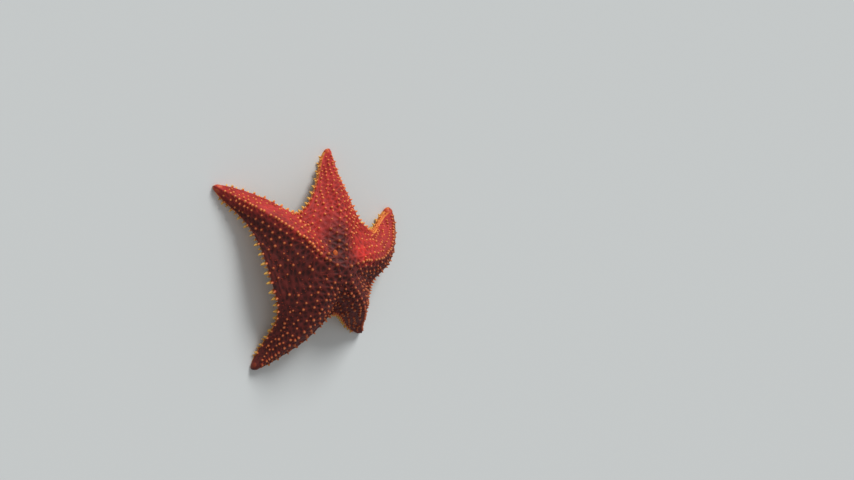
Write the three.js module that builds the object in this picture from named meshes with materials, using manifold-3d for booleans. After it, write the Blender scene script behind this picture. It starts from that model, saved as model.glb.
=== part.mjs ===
// Red cushion sea star (Oreaster reticulatus): a still, life-size model that stands on its five
// arm tips with the disc arched over the ground, as the animal does when it feeds.
// The body is first worked out flat: a five-armed star with one crest along each arm. Every point
// is then carried to its place in the arched pose, where the body is parted into its pieces.
// Millimetres, +Z up, the ground at Z = 0, the origin under the middle of the whole animal.
import * as THREE from 'three';
import { mergeVertices } from 'three/addons/utils/BufferGeometryUtils.js';
import Module from 'manifold-3d';

const wasm = await Module();
wasm.setup();
const rad = THREE.MathUtils.degToRad;
const { clamp, euclideanModulo, smoothstep } = THREE.MathUtils;
const UP = new THREE.Vector3(0, 0, 1);

// ---- Driving dimensions: the flat body ----
const ARM_COUNT = 5;
const ARM_STEP = (2 * Math.PI) / ARM_COUNT;
const ARM_RADIUS = 135; // disc centre to arm tip
const NOTCH_RADIUS = 57; // disc centre to the notch between two arms
const NOTCH_ROUNDING = 15; // how far the notch stays short of a sharp corner
const ARM_TAPER = rad(10.4); // lean of an arm's straight side to the arm's axis
const TIP_CAP = 138; // circle that the arms' sides run into
const TIP_BLEND = 8; // how suddenly they do
const CREST_CENTRE = 33; // height of the crests where they meet
const CREST_TIP = 7.5; // and at an arm's tip
const CREST_FALL = 0.68; // under 1 keeps the arms thick for most of their length
const CREST_ROUNDING = 0.2; // roundness of a crest, as a share of the half width
const MARGIN_CENTRE = 14; // thickness of the side wall, worked out from the centre
const MARGIN_TIP = 4.5;
const MARGIN_BULGE = 0.3; // how far the wall stands out, as a share of its height
const VALLEY_BLEND = 2; // softness of the valleys between the flanks
const FLANK_LIMIT = -1.5; // a crest's flanks run this far below the wall, then level
const BACK_FALL = 0.8; // slope of a crest's end, past the disc's centre

// ---- Driving dimensions: the pose ----
const ARCH_SLOPE = rad(31.2); // steepest slope of the arms
const ARCH_END = 0.65; // share of the arm where that slope is reached
const TIP_SLOPE = rad(4); // slope left at the tips, which lie nearly flat
const HOOK_START = 54; // where an arm begins to bend to one side
const SPLAY_FULL = rad(6); // an arm's own swing holds this far to each side
const SPLAY_FADE = rad(60); // and dies away evenly over this much more
const SPLAY_EASE = 0.2; // share of the fade that starts and ends it gently
const SPLAY_ROOT = 47; // distance from the centre where the swing is complete
const NOTCH_FADE = rad(30); // a notch's own swing and web die away over this much to each side
const BREADTH_FULL = 110; // an arm's own breadth is complete from here on
const FLAT_DEPTH = 1.6; // depth of the flat that each tip rests on
const HEADING = rad(114); // turn of the whole animal about the vertical
const DISC_PLACE = new THREE.Vector2(0.09, 9.74); // disc centre, from the origin
// An arm swings by `splay`, bends to one side by `hook` up to its tip and is `breadth` times as
// broad. A notch, first the one between the first two arms, swings by `swing` more and stands
// `web` further out, as a share of its distance from the centre. Its spines are `spine` times
// the full length.
const ARMS = [
  { name: 'right', splay: rad(-9.3), hook: rad(82), stretch: 1.02, breadth: 1.27 },
  { name: 'top', splay: rad(-5.3), hook: rad(2.5), stretch: 0.92, breadth: 0.9 },
  { name: 'left', splay: rad(-17), hook: rad(9.3), stretch: 1.14, breadth: 0.94 },
  { name: 'lower_left', splay: rad(15), hook: rad(-25), stretch: 1.07, breadth: 1.05 },
  { name: 'lower_right', splay: rad(5.6), hook: rad(-10), stretch: 0.76, breadth: 1 },
];
const NOTCHES = [
  { swing: rad(2.3), web: 0.02, spine: 0.66 },
  { swing: rad(11), web: 0.085, spine: 0.62 },
  { swing: rad(4.3), web: 0.13, spine: 1 },
  { swing: rad(3), web: -0.06, spine: 0.8 },
  { swing: rad(-0.8), web: 0.07, spine: 0.66 },
];

// ---- Driving dimensions: the pieces ----
const ARM_CUT = 60; // along the arm, where it leaves the disc
const TIP_CUT = 129; // where the terminal plate begins
const SEAM = 0.3; // gap between neighbouring pieces
const MOUTH_RADIUS = 10;
const MOUTH_DEPTH = 4.5;
const MOUTH_GAP = 2.2; // radius of the hole at the jaws' points
const JAW_ROOT = 6.2; // and between the jaws
const JAW_SINK = 1; // depth of the jaws behind the underside
const GROOVE_START = 6; // the grooves run out of the mouth
const GROOVE_END = 124;
const GROOVE_WIDTHS = [8.5, 3.6]; // at the start and the end
const GROOVE_DEPTHS = [6, 2];
const GROOVE_ROOF = 0.4; // width of a groove's roof, as a share of its mouth
const SIEVE_OFF = ARM_STEP * 1.5; // the madreporite lies between the top and the left arm
const SIEVE_RADIUS = 15; // from the disc centre
const SIEVE_SIZE = new THREE.Vector3(5.2, 4, 4.4); // along, across and through it
const SPINES_PER_SIDE = 15; // marginal spines on each side of an arm
const SPINE_LENGTHS = [6.6, 4.4]; // how far they stand out, at the notch and near the tip
const SPINE_RADII = [2.3, 1.5];
const SPINE_LEVEL = 0.55; // place of a spine's foot, as a share of the wall's height
const SPINE_LIFT = rad(17);
const SPINE_CROWDING = 1.35; // over 1 sets them closer towards the tip
const KNOBS_PER_ARM = 9; // crest tubercles
const KNOB_START = 11;
const KNOB_END = 124;
const KNOB_CROWDING = 0.9; // under 1 sets them closer towards the tip
const KNOB_HEIGHTS = [2.6, 1.6];
const KNOB_RADII = [2.4, 1.4];
const KNOB_POINT = 0.35; // radius of a tubercle's point, as a share of its foot
const EMBED = 3; // depth that a spine or tubercle is set into the body

// ---- Mesh fineness ----
const COLUMNS_PER_SIDE = 12; // columns from an arm's axis to the notch
const COLUMN_CROWDING = 1.6; // over 1 sets them closer towards the arm's axis
const TOP_ROWS = 11;
const RIM_ROWS = 3;
const UNDER_ROWS = 6;
const ROWS = TOP_ROWS + RIM_ROWS + UNDER_ROWS;
const TOP_STRIDES = [[0.3, 6], [0.5, 3], [Infinity, 1]]; // one column in so many, up to each share
const UNDER_STRIDES = [[0.4, 6], [0.95, 2], [Infinity, 1]];
const GROOVE_STEPS = 10;
const MOUTH_FACETS = 30;
const SIEVE_FACETS = [14, 8]; // round it and through it
const NORMAL_STEP = 1e-3; // angle to each side that a margin's direction is measured over
const SPINE_FACETS = 5;
const KNOB_FACETS = 4;

// ---- The flat body ----

/** Distance from the centre to the margin, at an angle `off` from the nearest arm's axis. */
function outline(off) {
  const fromNotch = ARM_STEP / 2 - Math.abs(off);
  const corner = NOTCH_RADIUS - NOTCH_ROUNDING;
  const flare = Math.tan(ARM_STEP / 2 + ARM_TAPER);
  const reach = corner * Math.cos(fromNotch);
  const lead = Math.cos(fromNotch) ** 2 - (Math.sin(fromNotch) / flare) ** 2;
  const side = (reach + Math.sqrt(reach ** 2 - lead * (corner ** 2 - NOTCH_ROUNDING ** 2))) / lead;
  return (side ** -TIP_BLEND + TIP_CAP ** -TIP_BLEND) ** (-1 / TIP_BLEND);
}

/** Half width of an arm between its straight sides, which meet the next arm's at a corner. */
function armHalfWidth(along) {
  const corner = NOTCH_RADIUS - NOTCH_ROUNDING;
  const straight = corner * Math.sin(ARM_STEP / 2)
    - (along - corner * Math.cos(ARM_STEP / 2)) * Math.tan(ARM_TAPER);
  const tip = 1 - Math.min(Math.max(along / ARM_RADIUS, 0), 1) ** TIP_BLEND;
  return Math.max(straight * Math.sqrt(tip), 2);
}

/** Height of the side wall at a distance from the centre. */
function marginHeight(distance) {
  const left = Math.max(1 - distance / ARM_RADIUS, 0);
  return MARGIN_TIP + (MARGIN_CENTRE - MARGIN_TIP) * left;
}

/** Height of the upper side: the smooth maximum of the wall and the arms' five rounded tents. */
function topHeight(x, y) {
  const wall = marginHeight(Math.hypot(x, y));
  let total = Math.exp(wall / VALLEY_BLEND);
  for (let k = 0; k < ARM_COUNT; k++) {
    const along = x * Math.cos(k * ARM_STEP) + y * Math.sin(k * ARM_STEP);
    const across = y * Math.cos(k * ARM_STEP) - x * Math.sin(k * ARM_STEP);
    const left = Math.max(1 - Math.abs(along) / ARM_RADIUS, 0);
    const crest = CREST_TIP + (CREST_CENTRE - CREST_TIP) * left ** CREST_FALL;
    const fall = Math.hypot(across / armHalfWidth(along), CREST_ROUNDING) - CREST_ROUNDING;
    const roof = Math.max(1 - fall / (Math.hypot(1, CREST_ROUNDING) - CREST_ROUNDING), FLANK_LIMIT);
    const tent = wall + (crest - wall) * roof + BACK_FALL * Math.min(along, 0);
    total += Math.exp(tent / VALLEY_BLEND);
  }
  return VALLEY_BLEND * Math.log(total);
}

// ---- The pose ----

/** Place on the arched mid-line, `distance` from the centre: two arcs, down and then level. */
function arch(distance) {
  const share = distance / ARM_RADIUS;
  const fall = ARCH_SLOPE / ARCH_END;
  const ease = (ARCH_SLOPE - TIP_SLOPE) / (1 - ARCH_END);
  const first = fall * Math.min(share, ARCH_END);
  const second = ARCH_SLOPE - ease * (Math.min(share, 1) - ARCH_END);
  let radius = Math.sin(first) / fall;
  let drop = (1 - Math.cos(first)) / fall;
  let slope = first;
  if (share > ARCH_END) {
    const past = Math.max(share - 1, 0);
    slope = second;
    radius += (Math.sin(ARCH_SLOPE) - Math.sin(slope)) / ease + past * Math.cos(slope);
    drop += (Math.cos(slope) - Math.cos(ARCH_SLOPE)) / ease + past * Math.sin(slope);
  }
  return { radius: radius * ARM_RADIUS, drop: drop * ARM_RADIUS, slope };
}

const FREE_LENGTH = arch(ARM_RADIUS).radius - HOOK_START;
const FLOOR_LIFT = arch(ARM_RADIUS).drop - FLAT_DEPTH;

/** An arm's own breadth, stretch and sideways bend, past the start of its hook. */
function bendArm(arm, along, aside) {
  if (along <= HOOK_START) return [along, aside];
  const across = aside * (1 + (arm.breadth - 1) * smoothstep(along, HOOK_START, BREADTH_FULL));
  const radius = FREE_LENGTH / arm.hook;
  const turn = ((along - HOOK_START) * arm.stretch) / radius;
  return [
    HOOK_START + (radius - across) * Math.sin(turn),
    radius - (radius - across) * Math.cos(turn),
  ];
}

/** Even rise from 0 to 1 with a short curve at each end. */
function ramp(share) {
  const x = clamp(share, 0, 1);
  const end = (reach) => reach ** 2 / (2 * SPLAY_EASE * (1 - SPLAY_EASE));
  if (x < SPLAY_EASE) return end(x);
  if (x > 1 - SPLAY_EASE) return 1 - end(1 - x);
  return (x - SPLAY_EASE / 2) / (1 - SPLAY_EASE);
}

/** Angle between two directions. */
const apart = (angle, other) => (
  Math.abs(euclideanModulo(angle - other + Math.PI, 2 * Math.PI) - Math.PI));

/** Share of notch `k` in what happens at an angle: 1 at the notch, and 0 past its fade. */
const notchShare = (angle, k) => 1 - ramp(apart(angle, (k + 0.5) * ARM_STEP) / NOTCH_FADE);

/** Swing of the body at an angle, shared between the arms and notches on each side of it. */
function splay(angle) {
  return ARMS.reduce((swing, arm, k) => (
    swing
      + arm.splay * (1 - ramp((apart(angle, k * ARM_STEP) - SPLAY_FULL) / SPLAY_FADE))
      + NOTCHES[k].swing * notchShare(angle, k)
  ), 0);
}

/** How much further out the body reaches at an angle, as a share. */
const webbing = (angle) => NOTCHES.reduce((web, notch, k) => web + notch.web * notchShare(angle, k), 0);

/** Carries a point of the flat body to its place in the arched pose. */
function pose(point) {
  const angle = Math.atan2(point.y, point.x);
  const k = Math.round(angle / ARM_STEP);
  const arm = ARMS[(k + ARM_COUNT) % ARM_COUNT];
  const distance = Math.hypot(point.x, point.y);
  const off = angle - k * ARM_STEP;
  const { radius, drop, slope } = arch(distance);
  const rooted = smoothstep(distance, 0, SPLAY_ROOT);
  const lean = (radius + point.z * Math.sin(slope)) * (1 + webbing(angle) * rooted);
  const [ahead, aside] = bendArm(arm, lean * Math.cos(off), lean * Math.sin(off));
  const swing = splay(angle) * rooted;
  const heading = Math.atan2(aside, ahead) + k * ARM_STEP + swing + HEADING;
  const reach = Math.hypot(ahead, aside);
  return point.set(
    DISC_PLACE.x + reach * Math.cos(heading),
    DISC_PLACE.y + reach * Math.sin(heading),
    FLOOR_LIFT - drop + point.z * Math.cos(slope),
  );
}

/** Axes of the posed arm `k` at a place along it: X along the arm, Y across it, Z up through it. */
function armFrame(k, along) {
  const at = (step, height) => {
    const angle = k * ARM_STEP;
    const distance = along + step;
    return pose(new THREE.Vector3(distance * Math.cos(angle), distance * Math.sin(angle), height));
  };
  const forward = at(1, 0).sub(at(-1, 0)).normalize();
  const side = at(0, 1).sub(at(0, 0)).cross(forward).normalize();
  const up = forward.clone().cross(side);
  return new THREE.Matrix4().makeBasis(forward, side, up).setPosition(at(0, 0));
}

// ---- Geometry helpers ----

/** Moves every vertex of a geometry by `place`, which gets the vertex and its u and v. */
function reshape(geometry, place) {
  const { position, uv } = geometry.attributes;
  const vertex = new THREE.Vector3();
  for (let i = 0; i < position.count; i++) {
    vertex.fromBufferAttribute(position, i);
    place(vertex, uv.getX(i), uv.getY(i));
    position.setXYZ(i, vertex.x, vertex.y, vertex.z);
  }
  return geometry;
}

/** A closed geometry as a solid that can be joined and cut, without faces drawn to nothing. */
function solid(geometry) {
  geometry.deleteAttribute('normal');
  geometry.deleteAttribute('uv');
  const welded = mergeVertices(geometry);
  const corners = [];
  for (let i = 0; i < welded.index.count; i += 3) {
    const [a, b, c] = welded.index.array.slice(i, i + 3);
    if (a !== b && b !== c && c !== a) corners.push(a, b, c);
  }
  return new wasm.Manifold(new wasm.Mesh({
    numProp: 3,
    vertProperties: welded.attributes.position.array,
    triVerts: new Uint32Array(corners),
  }));
}

/** A named mesh of a solid in its material. */
function piece(name, body, material) {
  const { vertProperties, triVerts } = body.getMesh();
  const geometry = new THREE.BufferGeometry();
  geometry.setAttribute('position', new THREE.BufferAttribute(vertProperties, 3));
  geometry.setIndex(new THREE.BufferAttribute(triVerts, 1));
  geometry.computeVertexNormals();
  const mesh = new THREE.Mesh(geometry, material);
  mesh.name = name;
  return mesh;
}

/** Value that runs evenly from the first to the last of a pair. */
const between = (pair, share) => pair[0] + (pair[1] - pair[0]) * share;

// ---- The body ----

/** Angle from an arm's axis of a column, counted from -1 to 1 across the arm's sector. */
const columnOff = (column) => (Math.sign(column) * Math.abs(column) ** COLUMN_CROWDING * ARM_STEP) / 2;

/** Places a vertex of the unit sphere on the flat body: over the top, down the wall and under. */
function bodyPoint(vertex, u, v) {
  const row = Math.round((1 - v) * ROWS);
  const [strides, share] = row <= TOP_ROWS
    ? [TOP_STRIDES, row / TOP_ROWS]
    : [UNDER_STRIDES, (ROWS - row) / UNDER_ROWS];
  const stride = strides.find(([limit]) => share < limit)[1];
  const column = Math.round(2 * COLUMNS_PER_SIDE * ARM_COUNT * u / stride) * stride;
  const sector = Math.round(column / (2 * COLUMNS_PER_SIDE));
  const off = columnOff(column / COLUMNS_PER_SIDE - 2 * sector);
  const angle = sector * ARM_STEP + off;
  const edge = outline(off);
  const bulge = MARGIN_BULGE * marginHeight(edge);
  const shoulder = edge - bulge;
  if (row <= TOP_ROWS) {
    const distance = (shoulder * row) / TOP_ROWS;
    vertex.set(distance * Math.cos(angle), distance * Math.sin(angle), 0);
    vertex.z = topHeight(vertex.x, vertex.y);
  } else if (row < TOP_ROWS + RIM_ROWS) {
    const turn = (Math.PI * (row - TOP_ROWS)) / RIM_ROWS;
    const distance = shoulder + bulge * Math.sin(turn);
    const top = topHeight(shoulder * Math.cos(angle), shoulder * Math.sin(angle));
    vertex.set(distance * Math.cos(angle), distance * Math.sin(angle), (top * (1 + Math.cos(turn))) / 2);
  } else {
    const distance = (shoulder * (ROWS - row)) / UNDER_ROWS;
    vertex.set(distance * Math.cos(angle), distance * Math.sin(angle), 0);
  }
}

function makeBody() {
  const sphere = new THREE.SphereGeometry(1, 2 * COLUMNS_PER_SIDE * ARM_COUNT, ROWS);
  return solid(reshape(sphere, (vertex, u, v) => {
    bodyPoint(vertex, u, v);
    pose(vertex);
  }));
}

/** The ground, as a block that cuts the flats under the arm tips. */
function makeGround() {
  const size = 4 * ARM_RADIUS;
  return solid(new THREE.BoxGeometry(size, size, size).translate(0, 0, -size / 2));
}

/** Cutter of the groove under an arm: a bar that narrows and gets shallower outwards. */
function makeGroove(k) {
  const bar = new THREE.BoxGeometry(1, 1, 1, GROOVE_STEPS, 1, 1);
  return solid(reshape(bar, (vertex) => {
    const share = vertex.x + 0.5;
    const along = GROOVE_START + (GROOVE_END - GROOVE_START) * share;
    const roofed = vertex.z > 0;
    const across = vertex.y * between(GROOVE_WIDTHS, share) * (roofed ? GROOVE_ROOF : 1);
    vertex.set(along, across, roofed ? between(GROOVE_DEPTHS, share) : -1);
    vertex.applyAxisAngle(UP, k * ARM_STEP);
    pose(vertex);
  }));
}

/** Upright wedge that holds arm `k`: from the disc's centre out between the notches beside it. */
function makeSector(k) {
  const corners = [new THREE.Vector2()];
  for (const half of [-0.5, 0.5]) {
    const angle = (k + half) * ARM_STEP;
    const heading = angle + splay(angle) + HEADING;
    corners.push(new THREE.Vector2(Math.cos(heading), Math.sin(heading)).multiplyScalar(2 * ARM_RADIUS));
  }
  const wedge = new THREE.ExtrudeGeometry(new THREE.Shape(corners), {
    depth: 2 * ARM_RADIUS, bevelEnabled: false,
  });
  return solid(wedge.translate(DISC_PLACE.x, DISC_PLACE.y, -ARM_RADIUS));
}

/** The part of a sector past a place along arm `k`, with its near face `shift` further on. */
function beyond(k, along, shift) {
  const size = 3 * ARM_RADIUS;
  const block = new THREE.BoxGeometry(size, size, size).translate(size / 2 + shift, 0, 0);
  return solid(block.applyMatrix4(armFrame(k, along))).intersect(makeSector(k));
}

// ---- Spines and tubercles ----

/** A blunt cone on the flat body, set in at its foot, and carried to the pose. */
function makeSpike(foot, direction, length, radius, point) {
  const cone = point > 0
    ? new THREE.CylinderGeometry(point, radius, length + EMBED, KNOB_FACETS)
    : new THREE.ConeGeometry(radius, length + EMBED, SPINE_FACETS);
  cone.translate(0, (length + EMBED) / 2 - EMBED, 0);
  const turn = new THREE.Quaternion().setFromUnitVectors(new THREE.Vector3(0, 1, 0), direction);
  cone.applyQuaternion(turn).translate(foot.x, foot.y, foot.z);
  return solid(reshape(cone, pose));
}

/** Marginal spines of one arm. */
function makeSpines(k) {
  const spines = [];
  for (const side of [-1, 1]) {
    const size = NOTCHES[(side > 0 ? k : k + ARM_COUNT - 1) % ARM_COUNT].spine;
    for (let i = 0; i < SPINES_PER_SIDE; i++) {
      const share = (i + 0.5) / SPINES_PER_SIDE;
      const column = (1 - share) ** SPINE_CROWDING;
      const off = side * Math.abs(columnOff(column));
      const edge = outline(off);
      const step = side * NORMAL_STEP;
      const margin = (angle) => new THREE.Vector3(
        outline(angle) * Math.cos(angle), outline(angle) * Math.sin(angle), 0);
      const run = margin(off + step).sub(margin(off - step)).normalize();
      const out = new THREE.Vector3(run.y * side, -run.x * side, 0);
      const direction = out.multiplyScalar(Math.cos(SPINE_LIFT)).setZ(Math.sin(SPINE_LIFT));
      const foot = margin(off).setZ(SPINE_LEVEL * marginHeight(edge));
      foot.applyAxisAngle(UP, k * ARM_STEP);
      direction.applyAxisAngle(UP, k * ARM_STEP);
      const length = size * between(SPINE_LENGTHS, share);
      const radius = Math.sqrt(size) * between(SPINE_RADII, share);
      spines.push(makeSpike(foot, direction, length, radius, 0));
    }
  }
  return spines;
}

/** Crest tubercles of one arm. */
function makeKnobs(k) {
  const knobs = [];
  for (let i = 0; i < KNOBS_PER_ARM; i++) {
    const share = i / (KNOBS_PER_ARM - 1);
    const along = between([KNOB_START, KNOB_END], share ** KNOB_CROWDING);
    const foot = new THREE.Vector3(along, 0, 0).applyAxisAngle(UP, k * ARM_STEP);
    foot.z = topHeight(foot.x, foot.y);
    const radius = between(KNOB_RADII, share);
    const height = between(KNOB_HEIGHTS, share);
    knobs.push(makeSpike(foot, UP, height, radius, KNOB_POINT * radius));
  }
  return knobs;
}

// ---- The mouth and the madreporite ----

/** Recess for the mouth, in the middle of the underside. */
function makeRecess() {
  const hole = new THREE.CylinderGeometry(MOUTH_RADIUS, MOUTH_RADIUS, 2 * MOUTH_DEPTH, MOUTH_FACETS);
  return solid(reshape(hole.rotateX(Math.PI / 2), pose));
}

/** The ring of jaws: a round plate with a star-shaped hole between five points. */
function makeMouth() {
  const plate = new THREE.Shape();
  plate.absarc(0, 0, MOUTH_RADIUS - SEAM, 0, 2 * Math.PI);
  const hole = [];
  for (let k = 0; k < 2 * ARM_COUNT; k++) {
    const angle = (k * ARM_STEP) / 2;
    const radius = k % 2 === 0 ? JAW_ROOT : MOUTH_GAP;
    hole.push(new THREE.Vector2(radius * Math.cos(angle), radius * Math.sin(angle)));
  }
  plate.holes.push(new THREE.Path(hole));
  const jaws = new THREE.ExtrudeGeometry(plate, {
    depth: MOUTH_DEPTH - SEAM - JAW_SINK, bevelEnabled: false, curveSegments: MOUTH_FACETS / 2,
  });
  return solid(reshape(jaws.translate(0, 0, JAW_SINK), pose));
}

/** The madreporite's oval button, or its bed when `room` widens it. */
function makeSieve(room) {
  const button = new THREE.SphereGeometry(0.5, ...SIEVE_FACETS);
  button.scale(SIEVE_SIZE.x + 2 * room, SIEVE_SIZE.y + 2 * room, SIEVE_SIZE.z + 2 * room);
  const place = new THREE.Vector3(SIEVE_RADIUS, 0, 0).applyAxisAngle(UP, SIEVE_OFF);
  button.rotateZ(SIEVE_OFF).translate(place.x, place.y, topHeight(place.x, place.y));
  return solid(reshape(button, pose));
}

// ---- The animal ----

const skin = new THREE.MeshStandardMaterial({ color: 0xa5321f, roughness: 0.7, metalness: 0 });
const tipPlate = new THREE.MeshStandardMaterial({ color: 0xe09a45, roughness: 0.6, metalness: 0 });
const jawPlate = new THREE.MeshStandardMaterial({ color: 0xd8a765, roughness: 0.65, metalness: 0 });
const sieve = new THREE.MeshStandardMaterial({ color: 0xdf9c3c, roughness: 0.6, metalness: 0 });

const clearOf = (spike, regions) => regions.every((region) => spike.intersect(region).isEmpty());
const within = (spike, region) => spike.subtract(region).isEmpty();

const group = new THREE.Group();
const ground = makeGround();
const bases = ARMS.map((arm, k) => beyond(k, ARM_CUT, -SEAM / 2));
let disc = makeBody().subtract(ground).subtract(makeRecess()).subtract(makeSieve(SEAM));
ARMS.forEach((arm, k) => {
  disc = disc.subtract(makeGroove(k));
});
ARMS.forEach((arm, k) => {
  const room = beyond(k, ARM_CUT, SEAM / 2);
  const end = beyond(k, TIP_CUT, -SEAM / 2);
  const whole = disc.intersect(room);
  disc = disc.subtract(bases[k]);
  let ray = whole.subtract(end);
  for (const spike of [...makeSpines(k), ...makeKnobs(k)]) {
    if (clearOf(spike, bases)) disc = disc.add(spike);
    else if (within(spike, room) && clearOf(spike, [end])) ray = ray.add(spike);
  }
  group.add(piece(`arm_${arm.name}`, ray.subtract(ground), skin));
  group.add(piece(`tip_${arm.name}`, whole.intersect(beyond(k, TIP_CUT, SEAM / 2)), tipPlate));
});
group.add(piece('disc', disc, skin));
group.add(piece('mouth', makeMouth(), jawPlate));
group.add(piece('madreporite', makeSieve(0), sieve));

export default group;
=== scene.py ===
"""Red cushion sea star (Oreaster reticulatus), arched on its five arm tips, with its stage.

The animal is worked out flat, as a five-armed star seen from above, and every point is then
carried into the arched pose. Lengths are metres and angles radians.
"""
import math

import bpy
import numpy as np
from bpy.props import FloatProperty, FloatVectorProperty, IntProperty, PointerProperty
from mathutils import Matrix, Vector


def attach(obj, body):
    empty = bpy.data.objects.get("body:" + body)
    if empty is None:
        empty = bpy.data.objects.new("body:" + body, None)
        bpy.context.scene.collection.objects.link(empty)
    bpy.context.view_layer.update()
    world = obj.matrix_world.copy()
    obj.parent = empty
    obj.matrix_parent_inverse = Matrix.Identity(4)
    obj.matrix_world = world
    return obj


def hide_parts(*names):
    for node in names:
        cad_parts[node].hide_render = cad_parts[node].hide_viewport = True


bl_info = {
    "name": "Red Cushion Sea Star",
    "version": (1, 0, 0),
    "blender": (4, 5, 0),
    "location": "3D View > Sidebar > Sea Star",
    "description": "Builds the skin, tubercles, spines and stage of an arched cushion sea star",
    "category": "Add Mesh",
}

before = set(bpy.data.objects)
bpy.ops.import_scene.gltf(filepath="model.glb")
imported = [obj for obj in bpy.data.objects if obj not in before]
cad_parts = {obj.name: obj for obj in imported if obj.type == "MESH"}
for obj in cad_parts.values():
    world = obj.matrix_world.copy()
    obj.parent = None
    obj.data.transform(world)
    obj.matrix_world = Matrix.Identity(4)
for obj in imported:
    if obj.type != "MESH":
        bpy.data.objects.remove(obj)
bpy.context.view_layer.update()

MM = 0.001
DEG = math.pi / 180

# ---- The flat body, the same shape as the solids ----
ARM_COUNT = 5
ARM_STEP = math.tau / ARM_COUNT
HALF_STEP = ARM_STEP / 2
ARM_RADIUS = 135 * MM
NOTCH_RADIUS = 57 * MM
NOTCH_ROUNDING = 15 * MM
ARM_TAPER = 10.4 * DEG
TIP_CAP = 138 * MM
TIP_BLEND = 8
CREST_CENTRE = 33 * MM
CREST_TIP = 7.5 * MM
CREST_FALL = 0.68
CREST_ROUNDING = 0.2
MARGIN_CENTRE = 14 * MM
MARGIN_TIP = 4.5 * MM
MARGIN_BULGE = 0.3
VALLEY_BLEND = 2 * MM
BACK_FALL = 0.8

# ---- The pose, the same as the solids' ----
ARCH_SLOPE = 31.2 * DEG
ARCH_END = 0.65
TIP_SLOPE = 4 * DEG
HOOK_START = 54 * MM
SPLAY_FULL = 6 * DEG
SPLAY_FADE = 60 * DEG
SPLAY_EASE = 0.2
SPLAY_ROOT = 47 * MM
FLAT_DEPTH = 1.6 * MM
HEADING = 114 * DEG
DISC_PLACE = (0.09 * MM, 9.74 * MM)
ARM_NAMES = ("right", "top", "left", "lower_left", "lower_right")
SPLAYS = np.array((-9.3, -5.3, -17, 15, 5.6)) * DEG
HOOKS = np.array((82, 2.5, 9.3, -25, -10)) * DEG
STRETCHES = np.array((1.02, 0.92, 1.14, 1.07, 0.76))
BREADTHS = np.array((1.27, 0.9, 0.94, 1.05, 1))
BREADTH_FULL = 110 * MM
NOTCH_SWINGS = np.array((2.3, 11, 4.3, 3, -0.8)) * DEG
NOTCH_WEBS = np.array((0.02, 0.085, 0.13, -0.06, 0.07))
NOTCH_SPINES = np.array((0.66, 0.62, 1, 0.8, 0.66))
NOTCH_FADE = 30 * DEG

# ---- The pieces, placed as on the solids ----
TIP_CUT = 129 * MM
MOUTH_RADIUS = 10 * MM
MOUTH_DEPTH = 4.5 * MM
GROOVE_START, GROOVE_END = 6 * MM, 124 * MM
GROOVE_HALF_WIDTHS = (4.2 * MM, 1.8 * MM)
GROOVE_DEPTHS = (6 * MM, 2 * MM)
SIEVE_RADIUS = 15 * MM
SIEVE_OFF = ARM_STEP * 1.5
SIEVE_PLACE = (SIEVE_RADIUS * math.cos(SIEVE_OFF), SIEVE_RADIUS * math.sin(SIEVE_OFF))
SIEVE_TURN = -40 * DEG
SPINES_PER_SIDE = 15
SPINE_CROWDING = 1.35
COLUMN_CROWDING = 1.6


# ---- Settings that a user would change ----


def colour(name, description, red, green, blue):
    """A colour property whose default is given in the usual 0 to 255 display values."""
    shares = [channel / 255 for channel in (red, green, blue)]
    linear = [s / 12.92 if s <= 0.04045 else ((s + 0.055) / 1.055) ** 2.4 for s in shares]
    return FloatVectorProperty(
        name=name, description=description, subtype="COLOR", size=3, min=0, max=1, default=linear
    )


def length(name, description, default):
    """A length property."""
    return FloatProperty(name=name, description=description, default=default, min=0, unit="LENGTH")


class SeaStarSizes(bpy.types.PropertyGroup):
    """Sizes of the surface detail."""

    columns: IntProperty(
        name="Skin columns", description="Columns of the skin round the margin", default=440, min=40
    )
    rows: IntProperty(
        name="Skin rows", description="Rows of the skin over the upper side", default=160, min=20
    )
    spacing_centre: length("Spacing, disc", "Gap between tubercles on the disc", 7.4 * MM)
    spacing_tip: length("Spacing, tips", "Gap between tubercles at the arm tips", 4.4 * MM)
    net_height: length("Net height", "Height of the ridges between tubercles", 0.9 * MM)
    knob_radius: length("Tubercle radius", "Radius of a tubercle on the disc", 1.45 * MM)
    knob_height: length("Tubercle height", "Height of a tubercle on the disc", 2.1 * MM)
    spine_length: length("Spine length", "Length of the marginal spines at the notches", 6.8 * MM)
    spine_radius: length("Spine radius", "Radius of the marginal spines at the notches", 2.4 * MM)
    foot_radius: length("Tube foot radius", "Radius of a tube foot's stalk", 0.6 * MM)


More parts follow.
